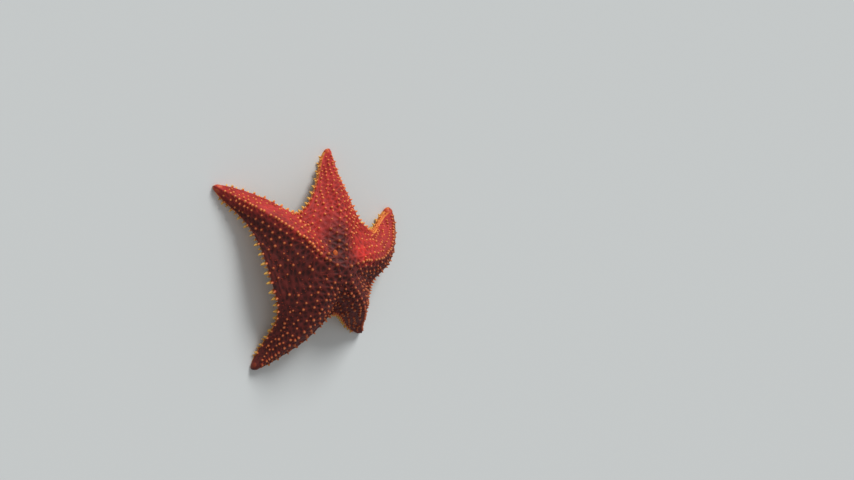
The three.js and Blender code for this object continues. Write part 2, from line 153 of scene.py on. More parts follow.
class SeaStarColours(bpy.types.PropertyGroup):
    """Colours of the animal and its stage."""

    ridge: colour("Ridges", "Red of the raised net", 185, 46, 37)
    hollow: colour("Hollows", "Darker red between the ridges", 118, 25, 23)
    # painted shade, with some brown on the disc: the next three colours darken the net and the
    # tubercles on the flanks turned from the light
    shade_and_brown_ridge: colour("Dusky ridges", "Brown-red of the net on the darker side", 106, 38, 33)
    shade_and_brown_hollow: colour("Dusky hollows", "Maroon between them", 54, 25, 24)
    painted_shade_veil: colour("Dusky veil", "Multiplies the tubercles on the darker side", 190, 180, 184)
    bright: colour("Bright patch", "Bright red at the root of one arm", 224, 48, 40)
    sieve: colour("Sieve plate", "Dull orange of the madreporite", 204, 118, 48)
    blush: colour("Blush", "Pinkish red that drifts over the skin", 202, 62, 60)
    wall: colour("Side wall", "Orange of the marginal plates", 236, 150, 64)
    oral: colour("Underside", "Pale orange of the underside", 208, 146, 92)
    # painted shade: dims the end plates of the arms on the side turned from the light
    tip_veil: colour("Dusky veil, tips", "Multiplies the darker side's end plates", 150, 150, 160)
    granule: colour("Granules", "Orange-red of the small tubercles", 206, 92, 52)
    knob_foot: colour("Tubercle foot", "Orange-red at a tubercle's foot", 186, 58, 32)
    knob_top: colour("Tubercle top", "Pale orange of a tubercle's point", 246, 147, 84)
    spine_foot: colour("Spine foot", "Orange-red at a marginal spine's foot", 196, 78, 36)
    spine_tip: colour("Spine tip", "Yellow of the marginal spines", 240, 190, 92)
    tube_foot: colour("Tube feet", "Translucent cream of the tube feet", 226, 190, 140)
    floor: colour("Floor", "Pale studio floor", 214, 218, 218)


class SeaStarStage(bpy.types.PropertyGroup):
    """Light and camera."""

    key: FloatProperty(
        name="Key light", description="Strength of the key light", default=2.5, min=0
    )
    sky: FloatProperty(
        name="Sky light", description="Strength of the even light", default=0.38, min=0
    )
    lens: FloatProperty(
        name="Lens", description="Focal length of the camera", default=31.2, unit="CAMERA"
    )


# ---- The flat body ----


def vectors(x, y, z):
    """Vectors from their three parts, each an array or one number."""
    return np.stack(np.broadcast_arrays(x, y, z), axis=-1)


def unit(arrows):
    """Vectors scaled to length one."""
    return arrows / np.linalg.norm(arrows, axis=-1, keepdims=True)


def polar(reach, angle):
    """Place (x, y) at a distance in a direction."""
    return reach * np.cos(angle), reach * np.sin(angle)


def circle(count):
    """Evenly spaced angles round a circle."""
    return np.arange(count) * math.tau / count


def between(pair, share):
    """Value that runs evenly from the first to the last of a pair."""
    return pair[0] + (pair[1] - pair[0]) * share


def smooth(value, start=0.0, end=1.0):
    """Smooth step: 3x^2 - 2x^3 of the share of the way from start to end."""
    x = np.clip((value - start) / (end - start), 0, 1)
    return x * x * (3 - 2 * x)


def sector(angle):
    """Nearest arm and the angle from its axis."""
    arm = np.round(angle / ARM_STEP)
    return arm.astype(int) % ARM_COUNT, angle - arm * ARM_STEP


def outline(off):
    """Distance to the margin at an angle from the nearest arm's axis.

    Each notch is a hyperbola about the line between two arms, d = c + sqrt(a^2 + (q/f)^2), with c
    the corner, a the rounding, q the distance across and f the flare of the sides. A power mean
    with the tip circle rounds the tips off.
    """
    from_notch = HALF_STEP - np.abs(off)
    corner = NOTCH_RADIUS - NOTCH_ROUNDING
    flare = math.tan(HALF_STEP + ARM_TAPER)
    reach = corner * np.cos(from_notch)
    lead = np.cos(from_notch) ** 2 - (np.sin(from_notch) / flare) ** 2
    side = (reach + np.sqrt(reach**2 - lead * (corner**2 - NOTCH_ROUNDING**2))) / lead
    return ((side / TIP_CAP) ** -TIP_BLEND + 1) ** (-1 / TIP_BLEND) * TIP_CAP


def arm_half_width(along):
    """Half width between an arm's straight sides, times sqrt(1 - x^8) at its round tip."""
    corner = NOTCH_RADIUS - NOTCH_ROUNDING
    past = along - corner * math.cos(HALF_STEP)
    straight = corner * math.sin(HALF_STEP) - past * math.tan(ARM_TAPER)
    tip = 1 - np.clip(along / ARM_RADIUS, 0, 1) ** TIP_BLEND
    return np.maximum(straight * np.sqrt(tip), 2 * MM)


def margin_height(distance):
    """Height of the side wall, which falls evenly from the centre to the tips."""
    left = np.maximum(1 - distance / ARM_RADIUS, 0)
    return MARGIN_TIP + (MARGIN_CENTRE - MARGIN_TIP) * left


def top_height(x, y):
    """Height of the upper side: b ln(sum exp(h/b)) over the wall and the arms' five tents.

    A tent's ridge falls as (1 - s/R)^0.68 along the arm, and its cross-section is the hyperbola
    1 - (sqrt(u^2 + c^2) - c)/(sqrt(1 + c^2) - c), with u the share of the half width.
    """
    wall = margin_height(np.hypot(x, y))
    total = np.exp(wall / VALLEY_BLEND)
    for arm in range(ARM_COUNT):
        cos, sin = math.cos(arm * ARM_STEP), math.sin(arm * ARM_STEP)
        along, across = x * cos + y * sin, y * cos - x * sin
        left = np.maximum(1 - np.abs(along) / ARM_RADIUS, 0)
        crest = CREST_TIP + (CREST_CENTRE - CREST_TIP) * left**CREST_FALL
        fall = np.hypot(across / arm_half_width(along), CREST_ROUNDING) - CREST_ROUNDING
        roof = np.maximum(1 - fall / (math.hypot(1, CREST_ROUNDING) - CREST_ROUNDING), -1.5)
        tent = wall + (crest - wall) * roof + BACK_FALL * np.minimum(along, 0)
        total = total + np.exp(tent / VALLEY_BLEND)
    return VALLEY_BLEND * np.log(total)


def top_axis(x, y):
    """Unit normal of the upper side, from its slopes over half a millimetre."""
    step = 0.5 * MM
    slope_x = (top_height(x + step, y) - top_height(x - step, y)) / (2 * step)
    slope_y = (top_height(x, y + step) - top_height(x, y - step)) / (2 * step)
    return unit(vectors(-slope_x, -slope_y, 1.0))


def groove_share(along):
    """Share of a groove's length passed at a place along the arm."""
    return (along - GROOVE_START) / (GROOVE_END - GROOVE_START)


def groove_height(x, y):
    """Rise of the underside into the grooves and the mouth: depth times 1 - |t/h|^3 across."""
    distance = np.hypot(x, y)
    off = sector(np.arctan2(y, x))[1]
    along, across = polar(distance, off)
    share = np.clip(groove_share(along), 0, 1)
    bowl = np.clip(1 - np.abs(across / between(GROOVE_HALF_WIDTHS, share)) ** 3, 0, 1)
    ends = smooth(GROOVE_END - along, 0, 6 * MM)
    mouth = MOUTH_DEPTH * smooth(MOUTH_RADIUS + 0.6 * MM - distance, 0, 1.2 * MM)
    return np.maximum(between(GROOVE_DEPTHS, share) * bowl * ends, mouth)


# ---- The pose ----


def arch(distance):
    """Radius, drop and slope on the arched mid-line: one arc down and one arc back to level."""
    share = distance / ARM_RADIUS
    fall = ARCH_SLOPE / ARCH_END
    ease = (ARCH_SLOPE - TIP_SLOPE) / (1 - ARCH_END)
    first = fall * np.minimum(share, ARCH_END)
    second = ARCH_SLOPE - ease * (np.clip(share, ARCH_END, 1) - ARCH_END)
    past = np.maximum(share - 1, 0)
    radius = np.sin(first) / fall + (math.sin(ARCH_SLOPE) - np.sin(second)) / ease
    drop = (1 - np.cos(first)) / fall + (np.cos(second) - math.cos(ARCH_SLOPE)) / ease
    slope = np.where(share > ARCH_END, second, first)
    radius = radius + past * math.cos(TIP_SLOPE)
    drop = drop + past * math.sin(TIP_SLOPE)
    return radius * ARM_RADIUS, drop * ARM_RADIUS, slope


def ramp(share):
    """Even rise from 0 to 1 whose first and last fifth are parabolas."""
    x = np.clip(share, 0, 1)
    bend = 2 * SPLAY_EASE * (1 - SPLAY_EASE)
    middle = (x - SPLAY_EASE / 2) / (1 - SPLAY_EASE)
    first, last = x**2 / bend, 1 - (1 - x) ** 2 / bend
    return np.select([x < SPLAY_EASE, x > 1 - SPLAY_EASE], [first, last], middle)


def apart(angle, other):
    """Angle between two directions."""
    return np.abs((angle - other + math.pi) % math.tau - math.pi)


def swing_and_web(angle):
    """Swing of the body at an angle, and its further reach as a share.

    Arms hold their swing for SPLAY_FULL to each side. It then ramps away, as a notch's own swing
    and web do from the notch itself.
    """
    swing, web = np.zeros_like(angle), np.zeros_like(angle)
    for k in range(ARM_COUNT):
        away = apart(angle, k * ARM_STEP) - SPLAY_FULL
        share = 1 - ramp(apart(angle, (k + 0.5) * ARM_STEP) / NOTCH_FADE)
        swing += SPLAYS[k] * (1 - ramp(away / SPLAY_FADE)) + NOTCH_SWINGS[k] * share
        web += NOTCH_WEBS[k] * share
    return swing, web


def pose(points):
    """Carries points of the flat body to the arched pose, where they stay above the ground.

    A point at a distance r and height z goes to the arch's place at r, plus z along its normal,
    times 1 + the web there. Past the hook's start an arm takes its own breadth and follows an arc
    of constant curvature to one side, and the whole sector turns by the swing.
    """
    x, y, z = np.moveaxis(points, -1, 0)
    distance, angle = np.hypot(x, y), np.arctan2(y, x)
    arm, off = sector(angle)
    radius, drop, slope = arch(distance)
    swing, web = swing_and_web(angle)
    rooted = smooth(distance, 0, SPLAY_ROOT)
    lean = (radius + z * np.sin(slope)) * (1 + web * rooted)
    along, across = polar(lean, off)
    across = across * (1 + (BREADTHS[arm] - 1) * smooth(along, HOOK_START, BREADTH_FULL))
    curve = HOOKS[arm] / (arch(np.float64(ARM_RADIUS))[0] - HOOK_START)
    turn = np.maximum(along - HOOK_START, 0) * STRETCHES[arm] * curve
    bent, outer = along > HOOK_START, 1 / curve - across
    along = np.where(bent, HOOK_START + outer * np.sin(turn), along)
    across = np.where(bent, 1 / curve - outer * np.cos(turn), across)
    heading = np.arctan2(across, along) + arm * ARM_STEP + swing * rooted + HEADING
    x, y = polar(np.hypot(along, across), heading)
    floor_lift = arch(np.float64(ARM_RADIUS))[1] - FLAT_DEPTH
    height = np.maximum(floor_lift - drop + z * np.cos(slope), 0)
    return vectors(DISC_PLACE[0] + x, DISC_PLACE[1] + y, height)


def pose_normals(places, normals):
    """Unit normals carried to the pose, n' = nx (Jy x Jz) + ny (Jz x Jx) + nz (Jx x Jy).

    Jx, Jy and Jz are the pose's slopes, taken over a tenth of a millimetre a little above the
    places, where the ground does not stop them.
    """
    step = 0.1 * MM
    clear = places + np.array([0, 0, 4 * MM])
    j = [pose(clear + step * axis) - pose(clear - step * axis) for axis in np.eye(3)]
    crosses = np.stack([np.cross(j[1], j[2]), np.cross(j[2], j[0]), np.cross(j[0], j[1])], axis=-1)
    return unit(np.einsum("nij,nj->ni", crosses, normals))


def apart_enough(places, gap):
    """Which places to keep so that, in their order, none is nearer than its gap to one before."""
    distance = np.linalg.norm(places[:, None] - places[None], axis=-1)
    keep = np.ones(len(places), dtype=bool)
    for i in range(1, len(places)):
        keep[i] = not np.any(keep[:i] & (distance[i, :i] < gap[i]))
    return keep


# ---- Meshes from arrays ----

PATCH_RADIUS = 0.0015  # radius of a knob's patch on the bake map


def grid_quads(rows, columns):
    """Quads of a grid whose last column joins the first."""
    row, column = np.meshgrid(np.arange(rows - 1), np.arange(columns), indexing="ij")
    beside = (column + 1) % columns
    corners = [row * columns + column, (row + 1) * columns + column]
    corners += [(row + 1) * columns + beside, row * columns + beside]
    return np.stack(corners, axis=-1).reshape(-1, 4)


def fan_triangles(first, columns, apex, flip=False):
    """Triangles from a ring of vertices to an apex."""
    ring = first + np.arange(columns)
    beside = first + (np.arange(columns) + 1) % columns
    order = (beside, ring) if flip else (ring, beside)
    return np.stack([*order, np.full(columns, apex)], axis=-1)


def closed_grid_faces(rows, columns):
    """Faces of rings of points with one apex before the first ring and one after the last."""
    first_apex, last_apex = rows * columns, rows * columns + 1
    start = fan_triangles(0, columns, first_apex)
    end = fan_triangles((rows - 1) * columns, columns, last_apex, flip=True)
    return grid_quads(rows, columns), np.concatenate([start, end])


def new_piece(name, points, quads, triangles, marks, nodes=(), slot="skin"):
    """A mesh piece of the animal from arrays, turned outwards, with its marks as attributes."""
    points = points.reshape(-1, 3)
    tris = np.concatenate([quads[:, [0, 1, 2]], quads[:, [0, 2, 3]], triangles])
    a, b, c = (points[tris[:, i]] for i in range(3))
    if np.einsum("ij,ij->", a, np.cross(b, c)) < 0:
        quads, triangles = quads[:, ::-1], triangles[:, ::-1]
    mesh = bpy.data.meshes.new(name)
    mesh.vertices.add(len(points))
    mesh.vertices.foreach_set("co", points.ravel())
    loops = np.concatenate([quads.ravel(), triangles.ravel()])
    mesh.loops.add(len(loops))
    mesh.loops.foreach_set("vertex_index", loops)
    starts = [np.arange(len(quads)) * 4, quads.size + np.arange(len(triangles)) * 3]
    starts = np.concatenate(starts)
    mesh.polygons.add(len(starts))
    mesh.polygons.foreach_set("loop_start", starts)
    mesh.update(calc_edges=True)
    mesh.validate()
    mesh.shade_smooth()
    for mark, values in marks.items():
        if mark == "OFBake":
            layer = mesh.uv_layers.new(name=mark)
            corners = np.empty(len(mesh.loops), dtype=np.int32)
            mesh.loops.foreach_get("vertex_index", corners)
            layer.uv.foreach_set("vector", values.reshape(-1, 2)[corners].ravel())
        else:
            layer = mesh.attributes.new(mark, "FLOAT", "POINT")
            layer.data.foreach_set("value", np.ascontiguousarray(values, dtype=np.float32).ravel())
    piece = bpy.data.objects.new(name, mesh)
    bpy.context.scene.collection.objects.link(piece)
    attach(piece, "root")
    if nodes:
        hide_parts(*nodes)
    return piece


def stamp(
    name, roots, axes, radii, lengths, profile, around, material, tones, shades=0.0, slot="skin"
):
    """Many like knobs or spines as one piece.

    Each is a profile of (height share, radius share) turned round its own axis: point = root +
    length h axis + radius r (cos a u + sin a v), with root and axis in the pose. The last profile
    row is its point, and the first one is closed below. Marks: rise runs from 0 at the foot to 1
    at the point, tone varies from knob to knob, and shade is how much painted shade dims the knob.
    """
    heights, widths = np.array(profile[:-1]).T
    count, rings = len(roots), len(heights)
    chart = unwrap(roots)
    roots, axes = pose(roots), pose_normals(roots, axes)
    helper = np.where(np.abs(axes[:, 2:]) > 0.8, [[1.0, 0.0, 0.0]], [[0.0, 0.0, 1.0]])
    u = unit(np.cross(axes, helper))
    v = np.cross(axes, u)
    turn = circle(around)
    spoke = np.cos(turn)[None, :, None] * u[:, None] + np.sin(turn)[None, :, None] * v[:, None]
    rise = lengths[:, None] * heights
    width = radii[:, None] * widths
    body = roots[:, None, None] + rise[..., None, None] * axes[:, None, None]
    body = body + width[..., None, None] * spoke[:, None]
    foot = roots + (lengths * profile[0][0])[:, None] * axes
    point = roots + (lengths * profile[-1][0])[:, None] * axes
    points = np.concatenate([body.reshape(count, -1, 3), foot[:, None], point[:, None]], axis=1)
    quads, triangles = closed_grid_faces(rings, around)
    shift = (np.arange(count) * points.shape[1])[:, None, None]
    share = np.concatenate([np.repeat(heights, around), [profile[0][0], profile[-1][0]]])
    patch = np.concatenate([np.repeat(1 - np.clip(heights, 0, 1), around), [1, 0]])
    spin = np.concatenate([np.tile(turn, rings), [0, 0]])
    spread = PATCH_RADIUS * patch[:, None] * np.stack([np.cos(spin), np.sin(spin)], axis=-1)
    marks = {
        "rise": np.tile(np.clip(share, 0, 1), (count, 1)),
        "tone": np.repeat(tones, points.shape[1]),
        "shade": np.repeat(np.broadcast_to(shades, count), points.shape[1]),
        "OFBake": chart[:, None] + spread,
    }
    faces = [(shift + part).reshape(-1, part.shape[1]) for part in (quads, triangles)]
    points[..., 2] = np.maximum(points[..., 2], 0)
    piece = new_piece(name, points, *faces, marks, slot=slot)
    piece.data.materials.append(material)


# ---- The net of ridges ----


def spacing(along):
    """Gap between tubercles at a place along an arm."""
    sizes = bpy.context.scene.sea_star_sizes
    return between((sizes.spacing_centre, sizes.spacing_tip), np.clip(along / ARM_RADIUS, 0, 1.2))


ROW_GAP = 0.86  # gap between the rows of tubercles, as a share of the gap along them
RIDGE_WIDTH = 0.17  # half width of a ridge, as a share of the gap between ridges
BOSS_WIDTH = 0.24  # radius of a boss, as a share of the gap along a row
ROW_COUNT = 14
STEP_COUNT = 34
DRIFT_PASSES = 6  # passes that settle a node where the drifting net puts it
JITTER = 0.11  # how far tubercles stray from the net's nodes, as a share of its gap
# between these places a crest has a tubercle on every half step of the net
BEADED_FROM = 16 * MM
BEADED_TO = np.array((96, 0, 100, 0, 0)) * MM
CREST_KNOB = 1.2  # size of the tubercles on such a crest, as a share of the others'


def to_net(along, across):
    """Net coordinates (a, b): a counts gaps along the arm, b counts rows out from its crest.

    With the gap d = d0 + (d1 - d0) s/R, a = R ln(d/d0)/(d1 - d0) and b = |t|/(0.86 d).
    """
    first, last = spacing(0), spacing(ARM_RADIUS)
    gap = spacing(along)
    return ARM_RADIUS * np.log(gap / first) / (last - first), np.abs(across) / (ROW_GAP * gap)


def from_net(a, b):
    """Place (along, across) of net coordinates."""
    first, last = spacing(0), spacing(ARM_RADIUS)
    along = (first * np.exp(a * (last - first) / ARM_RADIUS) - first) * ARM_RADIUS / (last - first)
    return along, b * ROW_GAP * spacing(along)


def warp(x, y):
    """Drift of the net in each of its directions, from slow sine waves over the body."""
    x, y = x / MM, y / MM
    a = 0.20 * np.sin(x / 8.3 + 1.1 * np.sin(y / 13.0)) + 0.13 * np.sin(y / 5.9 - x / 11.0 + 2.0)
    a += 0.07 * np.sin(x / 2.3 + y / 3.7)
    b = 0.17 * np.sin(y / 7.7 + 1.3 * np.sin(x / 12.0)) + 0.12 * np.sin(x / 6.1 + y / 14.0 + 4.0)
    b += 0.07 * np.sin(y / 2.6 - x / 3.3)
    return a, b


def net_marks(x, y):
    """Ridge and boss strength, from 0 to 1, of the net at places on the upper side.

    The ridges run along b, a + b/2 and a - b/2 at whole numbers, as bell curves of the distance,
    and the bosses stand where they meet.
    """
    distance = np.hypot(x, y)
    off = sector(np.arctan2(y, x))[1]
    a, b = to_net(*polar(distance, off))
    drift_a, drift_b = warp(x, y)
    a, b = a + drift_a, b + drift_b * np.minimum(b, 1)
    lines = [np.abs(f - np.round(f)) for f in (b, a + b / 2, a - b / 2)]
    ridge = np.sum([np.exp(-((line / RIDGE_WIDTH) ** 2)) for line in lines], axis=0)
    row = np.round(b)
    step = a - row / 2
    to_node = np.hypot(step - np.round(step), ROW_GAP * (b - row))
    return np.minimum(ridge, 1), np.exp(-((to_node / BOSS_WIDTH) ** 2))


def net_nodes():
    """Flat places (x, y), and the row, of every node of the net on the upper side."""
    steps = np.arange(-2, STEP_COUNT, 0.5)
    grid = np.meshgrid(
        np.arange(ARM_COUNT), (-1, 1), np.arange(ROW_COUNT), steps, indexing="ij"
    )
    arm, side, row, step = (part.ravel() for part in grid)
    whole = step == np.floor(step)
    place = from_net(step, row)[0]
    beaded = (place > BEADED_FROM) & (place < BEADED_TO[arm])
    keep = np.where(row > 0, whole, (side > 0) & (whole | beaded))
    arm, side, row, step = (part[keep] for part in (arm, side, row, step))
    goal_a, goal_b = step + row / 2.0, row.astype(float)
    a, b = goal_a.copy(), goal_b.copy()
    for _ in range(DRIFT_PASSES):
        along, across = from_net(a, b)
        heading = np.arctan2(side * across, along) + arm * ARM_STEP
        x, y = polar(np.hypot(along, across), heading)
        drift_a, drift_b = warp(x, y)
        a, b = goal_a - drift_a, goal_b - drift_b * np.minimum(goal_b, 1)
    random = np.random.default_rng(7)
    along, across = from_net(*(net + JITTER * random.standard_normal(len(a)) for net in (a, b)))
    across = np.where(row > 0, np.abs(across), 0.6 * across)
    heading = np.arctan2(side * across, along) + arm * ARM_STEP
    distance = np.hypot(along, across)
    x, y = polar(distance, heading)
    off = np.abs(np.arctan2(across, along))
    gap = spacing(along)
    inside = (along > 0.45 * gap) & (distance * np.sin(HALF_STEP - off) > 0.3 * gap)
    inside &= distance < outline(off) * 0.985 - 0.3 * gap
    inside &= along < TIP_CUT - 2 * MM
    return x[inside], y[inside], row[inside]


# ---- The skin ----

CHART_SPAN = 5.2  # width of the unwrap, in arm lengths
WALL_FROM_ROOT = 1.36  # girth where the orange of the side wall starts, at the notches
WALL_FROM_TIP = np.array((0.96, 1.06, 1.4, 1.55, 1.55))  # and at each arm's tip
# from here out it is as at the tip
WALL_FULL = np.array((0.6, 0.85, 0.85, 0.85, 0.85)) * ARM_RADIUS
# orange along one edge of the upper side, at the tips
RIM_WIDTHS = np.array((5.4, 0, 0, 0, 0)) * MM
SHADE_CRESTS = (2 * ARM_STEP, 0.0)  # painted shade: the skin is darker and browner beyond the crests of these two arms, on the flanks turned from the light
SHADE_SETBACK = 3 * MM
SHADE_WIDTH = 40 * MM
# and in two ovals, on the disc and along one arm: place, turn, reaches and strength
SHADE_OVALS = (
    (1.5 * MM, 20 * MM, 84 * DEG, 30 * MM, 16 * MM, 0.5),
    (68 * MM, 14 * MM, 8 * DEG, 36 * MM, 14 * MM, 0.27),
)
SHADE_RANGE = (-0.13, 0.17)  # level where the painted shade and brown start and where they are full
BRIGHT_PLACE = (24 * MM, 6.5 * MM)
BRIGHT_REACH = 8 * MM
PLATE_RISE = 0.5 * MM  # height of the marginal plates between their joints
PEBBLE_RISE = 0.12 * MM
PEBBLE_SIZES = (0.62 * MM, 0.9 * MM)


def margin_angles(count):
    """Angles of evenly spaced places along the margin."""
    fine = np.linspace(0, math.tau, 7201)
    x, y = polar(outline(sector(fine)[1]), fine)
    run = np.concatenate([[0], np.cumsum(np.hypot(np.diff(x), np.diff(y)))])
    return np.interp(np.arange(count) / count * run[-1], run, fine)


def plate_phase(off):
    """Count of marginal plates from the notch to a place on the margin."""
    column = (np.abs(off) / HALF_STEP) ** (1 / COLUMN_CROWDING)
    return SPINES_PER_SIDE * (1 - column ** (1 / SPINE_CROWDING))


def flat_surface(angle, girth):
    """The flat body's whole surface.

    girth runs 0 to 1 from the centre over the top to the shoulder, 1 to 2 down the wall as a half
    ellipse, and 2 to 3 back under to the centre.
    """
    off = sector(angle)[1]
    edge = outline(off)
    bulge = MARGIN_BULGE * margin_height(edge)
    shoulder = edge - bulge
    turn = math.pi * np.clip(girth - 1, 0, 1)
    over = np.where(girth < 1, girth, np.where(girth > 2, 3 - girth, 1))
    distance = shoulder * over + bulge * np.sin(turn)
    x, y = polar(distance, angle)
    top = top_height(*polar(shoulder * np.minimum(girth, 1), angle))
    z = np.where(girth > 2, groove_height(x, y), top * (1 + np.cos(turn)) / 2)
    return vectors(x, y, z)


def unwrap(places):
    """Chart places of points on the flat body, from the skin's own two round charts.

    A point lies at its distance along the surface from the centre, over the top or under.
    """
    x, y, z = places.T
    distance, angle = np.hypot(x, y), np.arctan2(y, x)
    edge = outline(sector(angle)[1])
    over = z > 0.5 * margin_height(edge) - 1e-6
    share = np.minimum(distance / edge, 1)
    girth = np.linspace(0, 1, 25)[:, None] * np.where(over, share, -share)
    path = flat_surface(angle, np.where(over, girth, 3 + girth))
    run = np.linalg.norm(np.diff(path, axis=0), axis=-1).sum(axis=0)
    return chart_place(over, run, angle)


def chart_place(over, run, angle):
    """Chart place at a distance along the surface, in the upper side's or the underside's chart."""
    u, v = polar(run / (CHART_SPAN * ARM_RADIUS), angle)
    return np.stack([np.where(over, 0.25, 0.75) + u, 0.5 + v], axis=-1)


def shade_and_brown(x, y):
    """How dark and brown the skin is: painted shade that grows with the distance beyond two crests,
    on the flanks turned from the light, plus two bells, browner on the disc and darker along one
    arm.

    The distance beyond a crest of heading h is y cos h - x sin h, or its opposite for the second
    one. A bell is k exp(-(u/a)^2 - (v/b)^2), with u along the turned axis of its oval.
    """
    first, last = SHADE_CRESTS
    beyond = np.maximum(
        y * math.cos(first) - x * math.sin(first), x * math.sin(last) - y * math.cos(last)
    )
    level = np.clip((beyond - SHADE_SETBACK) / SHADE_WIDTH, -0.3, 0.5)
    for place_x, place_y, turn, reach, width, strength in SHADE_OVALS:
        u, v = x - place_x, y - place_y
        cos, sin = math.cos(turn), math.sin(turn)
        aside = np.hypot((u * cos + v * sin) / reach, (v * cos - u * sin) / width)
        level = level + strength * np.exp(-(aside**2))
    return level


def shade_and_brown_share(x, y):
    """Share of painted shade and brown at places on the upper side."""
    return smooth(shade_and_brown(x, y), *SHADE_RANGE)


def skin_relief(flat, angle, girth):
    """Height of the surface detail over the body, and the marks that its colours follow."""
    sizes = bpy.context.scene.sea_star_sizes
    x, y = flat[..., 0], flat[..., 1]
    ridge, boss = net_marks(x, y)
    arm, off = sector(angle)
    top = 1 - smooth(girth, 0.96, 1.02)
    outwards = smooth(np.hypot(x, y), NOTCH_RADIUS, WALL_FULL[arm])
    start = WALL_FROM_ROOT + (WALL_FROM_TIP[arm] - WALL_FROM_ROOT) * outwards
    wall = smooth(girth, 0.97, 1.03) * (1 - smooth(girth, 1.96, 2.04))
    inset = (1 - girth) * outline(off) * np.cos(ARM_TAPER)
    rim = smooth(RIM_WIDTHS[arm] * outwards - inset, 0, MM) * outwards * smooth(off, 0, 1.5 * DEG)
    under = smooth(girth, 1.9, 2.02)
    scale = spacing(np.hypot(x, y)) / spacing(0)
    net = sizes.net_height * scale * (ridge + 0.8 * boss - 0.5) * top
    phase = plate_phase(off)
    joint = np.exp(-((np.abs(phase - np.round(phase)) / 0.11) ** 2))
    belt = np.exp(-(((girth - 1.5) / 0.08) ** 2))
    plates = PLATE_RISE * (1 - np.maximum(joint, belt)) * wall
    fine, coarse = PEBBLE_SIZES
    pebble = np.sin(x / fine) * np.sin(y / fine) + np.sin((x + y) / coarse)
    groove = groove_height(x, y)
    pavement = PEBBLE_RISE * pebble * under * (groove < 0.3 * MM)
    aside = np.hypot(x - BRIGHT_PLACE[0], y - BRIGHT_PLACE[1]) / BRIGHT_REACH
    marks = {
        "net": np.clip(np.maximum(ridge * 0.8 + boss * 0.5, rim), 0, 1) * top + (1 - joint) * wall,
        # painted shade, with some brown on the disc: the level that darkens the skin
        "shade_and_brown": shade_and_brown(x, y),
        "bright": top * np.exp(-(aside**2)),
        "wall": np.maximum(smooth(girth, start, start + 0.14) * wall, rim * top),
        "under": under,
        # painted shade: how deep a place lies in the underside's grooves
        "hollow": smooth(groove * under, 0.5 * MM, 3 * MM),
    }
    return net + plates + pavement, marks


def make_skin():
    """The one skin of disc and arms: the flat surface posed, then raised along its normals."""
    sizes = bpy.context.scene.sea_star_sizes
    angle = margin_angles(sizes.columns)
    wall_rows, under_rows = sizes.rows // 11, sizes.rows // 3
    over = (np.arange(sizes.rows) + 0.6) / (sizes.rows - 0.4)
    girth = np.concatenate([
        over,
        1 + (np.arange(wall_rows) + 1) / (wall_rows + 1),
        2 + np.arange(under_rows) / (under_rows + 0.4),
    ])
    angle, girth = np.meshgrid(angle, girth)
    flat = flat_surface(angle, girth)
    posed = pose(flat)
    round_it = np.roll(posed, -1, axis=1) - np.roll(posed, 1, axis=1)
    normal = unit(np.cross(round_it, np.gradient(posed, axis=0)))
    normal *= np.sign(normal[sizes.rows // 2, :, 2].mean())
    relief, marks = skin_relief(flat, angle, girth)
    points = posed + relief[..., None] * normal
    points[..., 2] = np.maximum(points[..., 2], 0.1 * MM)
    rows, columns = girth.shape
    middle = np.array([[0, 0, top_height(np.float64(0), np.float64(0))], [0, 0, MOUTH_DEPTH]])
    apexes = pose(middle)
    run = np.cumsum(np.linalg.norm(np.diff(flat, axis=0, prepend=flat[:1]), axis=-1), axis=0)
    over = girth < 1.5
    chart = chart_place(over, np.where(over, run, run[-1] - run), angle)
    marks = {name: np.append(value.ravel(), value[[0, -1], 0]) for name, value in marks.items()}
    marks["OFBake"] = np.concatenate([chart.reshape(-1, 2), [[0.25, 0.5], [0.75, 0.5]]])
    points = np.concatenate([points.reshape(-1, 3), apexes])
    nodes = ["disc", *(f"arm_{name}" for name in ARM_NAMES)]
    skin = new_piece("skin", points, *closed_grid_faces(rows, columns), marks, nodes)
    skin.data.materials.append(skin_material())


# ---- Shader building ----


def add(tree, kind, inputs=None, **settings):
    """A shader node with its settings made and its inputs set or linked."""
    node = tree.nodes.new(kind)
    for key, value in settings.items():
        setattr(node, key, value)
    for key, value in (inputs or {}).items():
        if isinstance(value, bpy.types.NodeSocket):
            tree.links.new(value, node.inputs[key])
        else:
            node.inputs[key].default_value = value
    return node


def mix(tree, factor, first, second, blend="MIX"):
    """Mix of two colours."""
    inputs = {0: factor, 6: first, 7: second}
    return add(tree, "ShaderNodeMix", inputs, data_type="RGBA", blend_type=blend).outputs[2]


def calc(tree, operation, first, second=0.0):
    """One step of arithmetic on values."""
    return add(tree, "ShaderNodeMath", {0: first, 1: second}, operation=operation).outputs[0]


def attribute(tree, name):
    """Value of a mark of the mesh."""
    return add(tree, "ShaderNodeAttribute", attribute_name=name).outputs["Fac"]


def rgba(shade):
    """A colour setting as a shader colour."""
    return (*shade, 1.0)


def new_group(name, inputs, outputs):
    """An empty shader group, with the sockets that it is given and those that it makes."""
    group = bpy.data.node_groups.new(name, "ShaderNodeTree")
    for label, (kind, default) in inputs.items():
        socket = group.interface.new_socket(label, in_out="INPUT", socket_type=kind)
        socket.default_value = default
    for label, kind in outputs.items():
        group.interface.new_socket(label, in_out="OUTPUT", socket_type=kind)
    given = group.nodes.new("NodeGroupInput").outputs
    return group, given, group.nodes.new("NodeGroupOutput").inputs


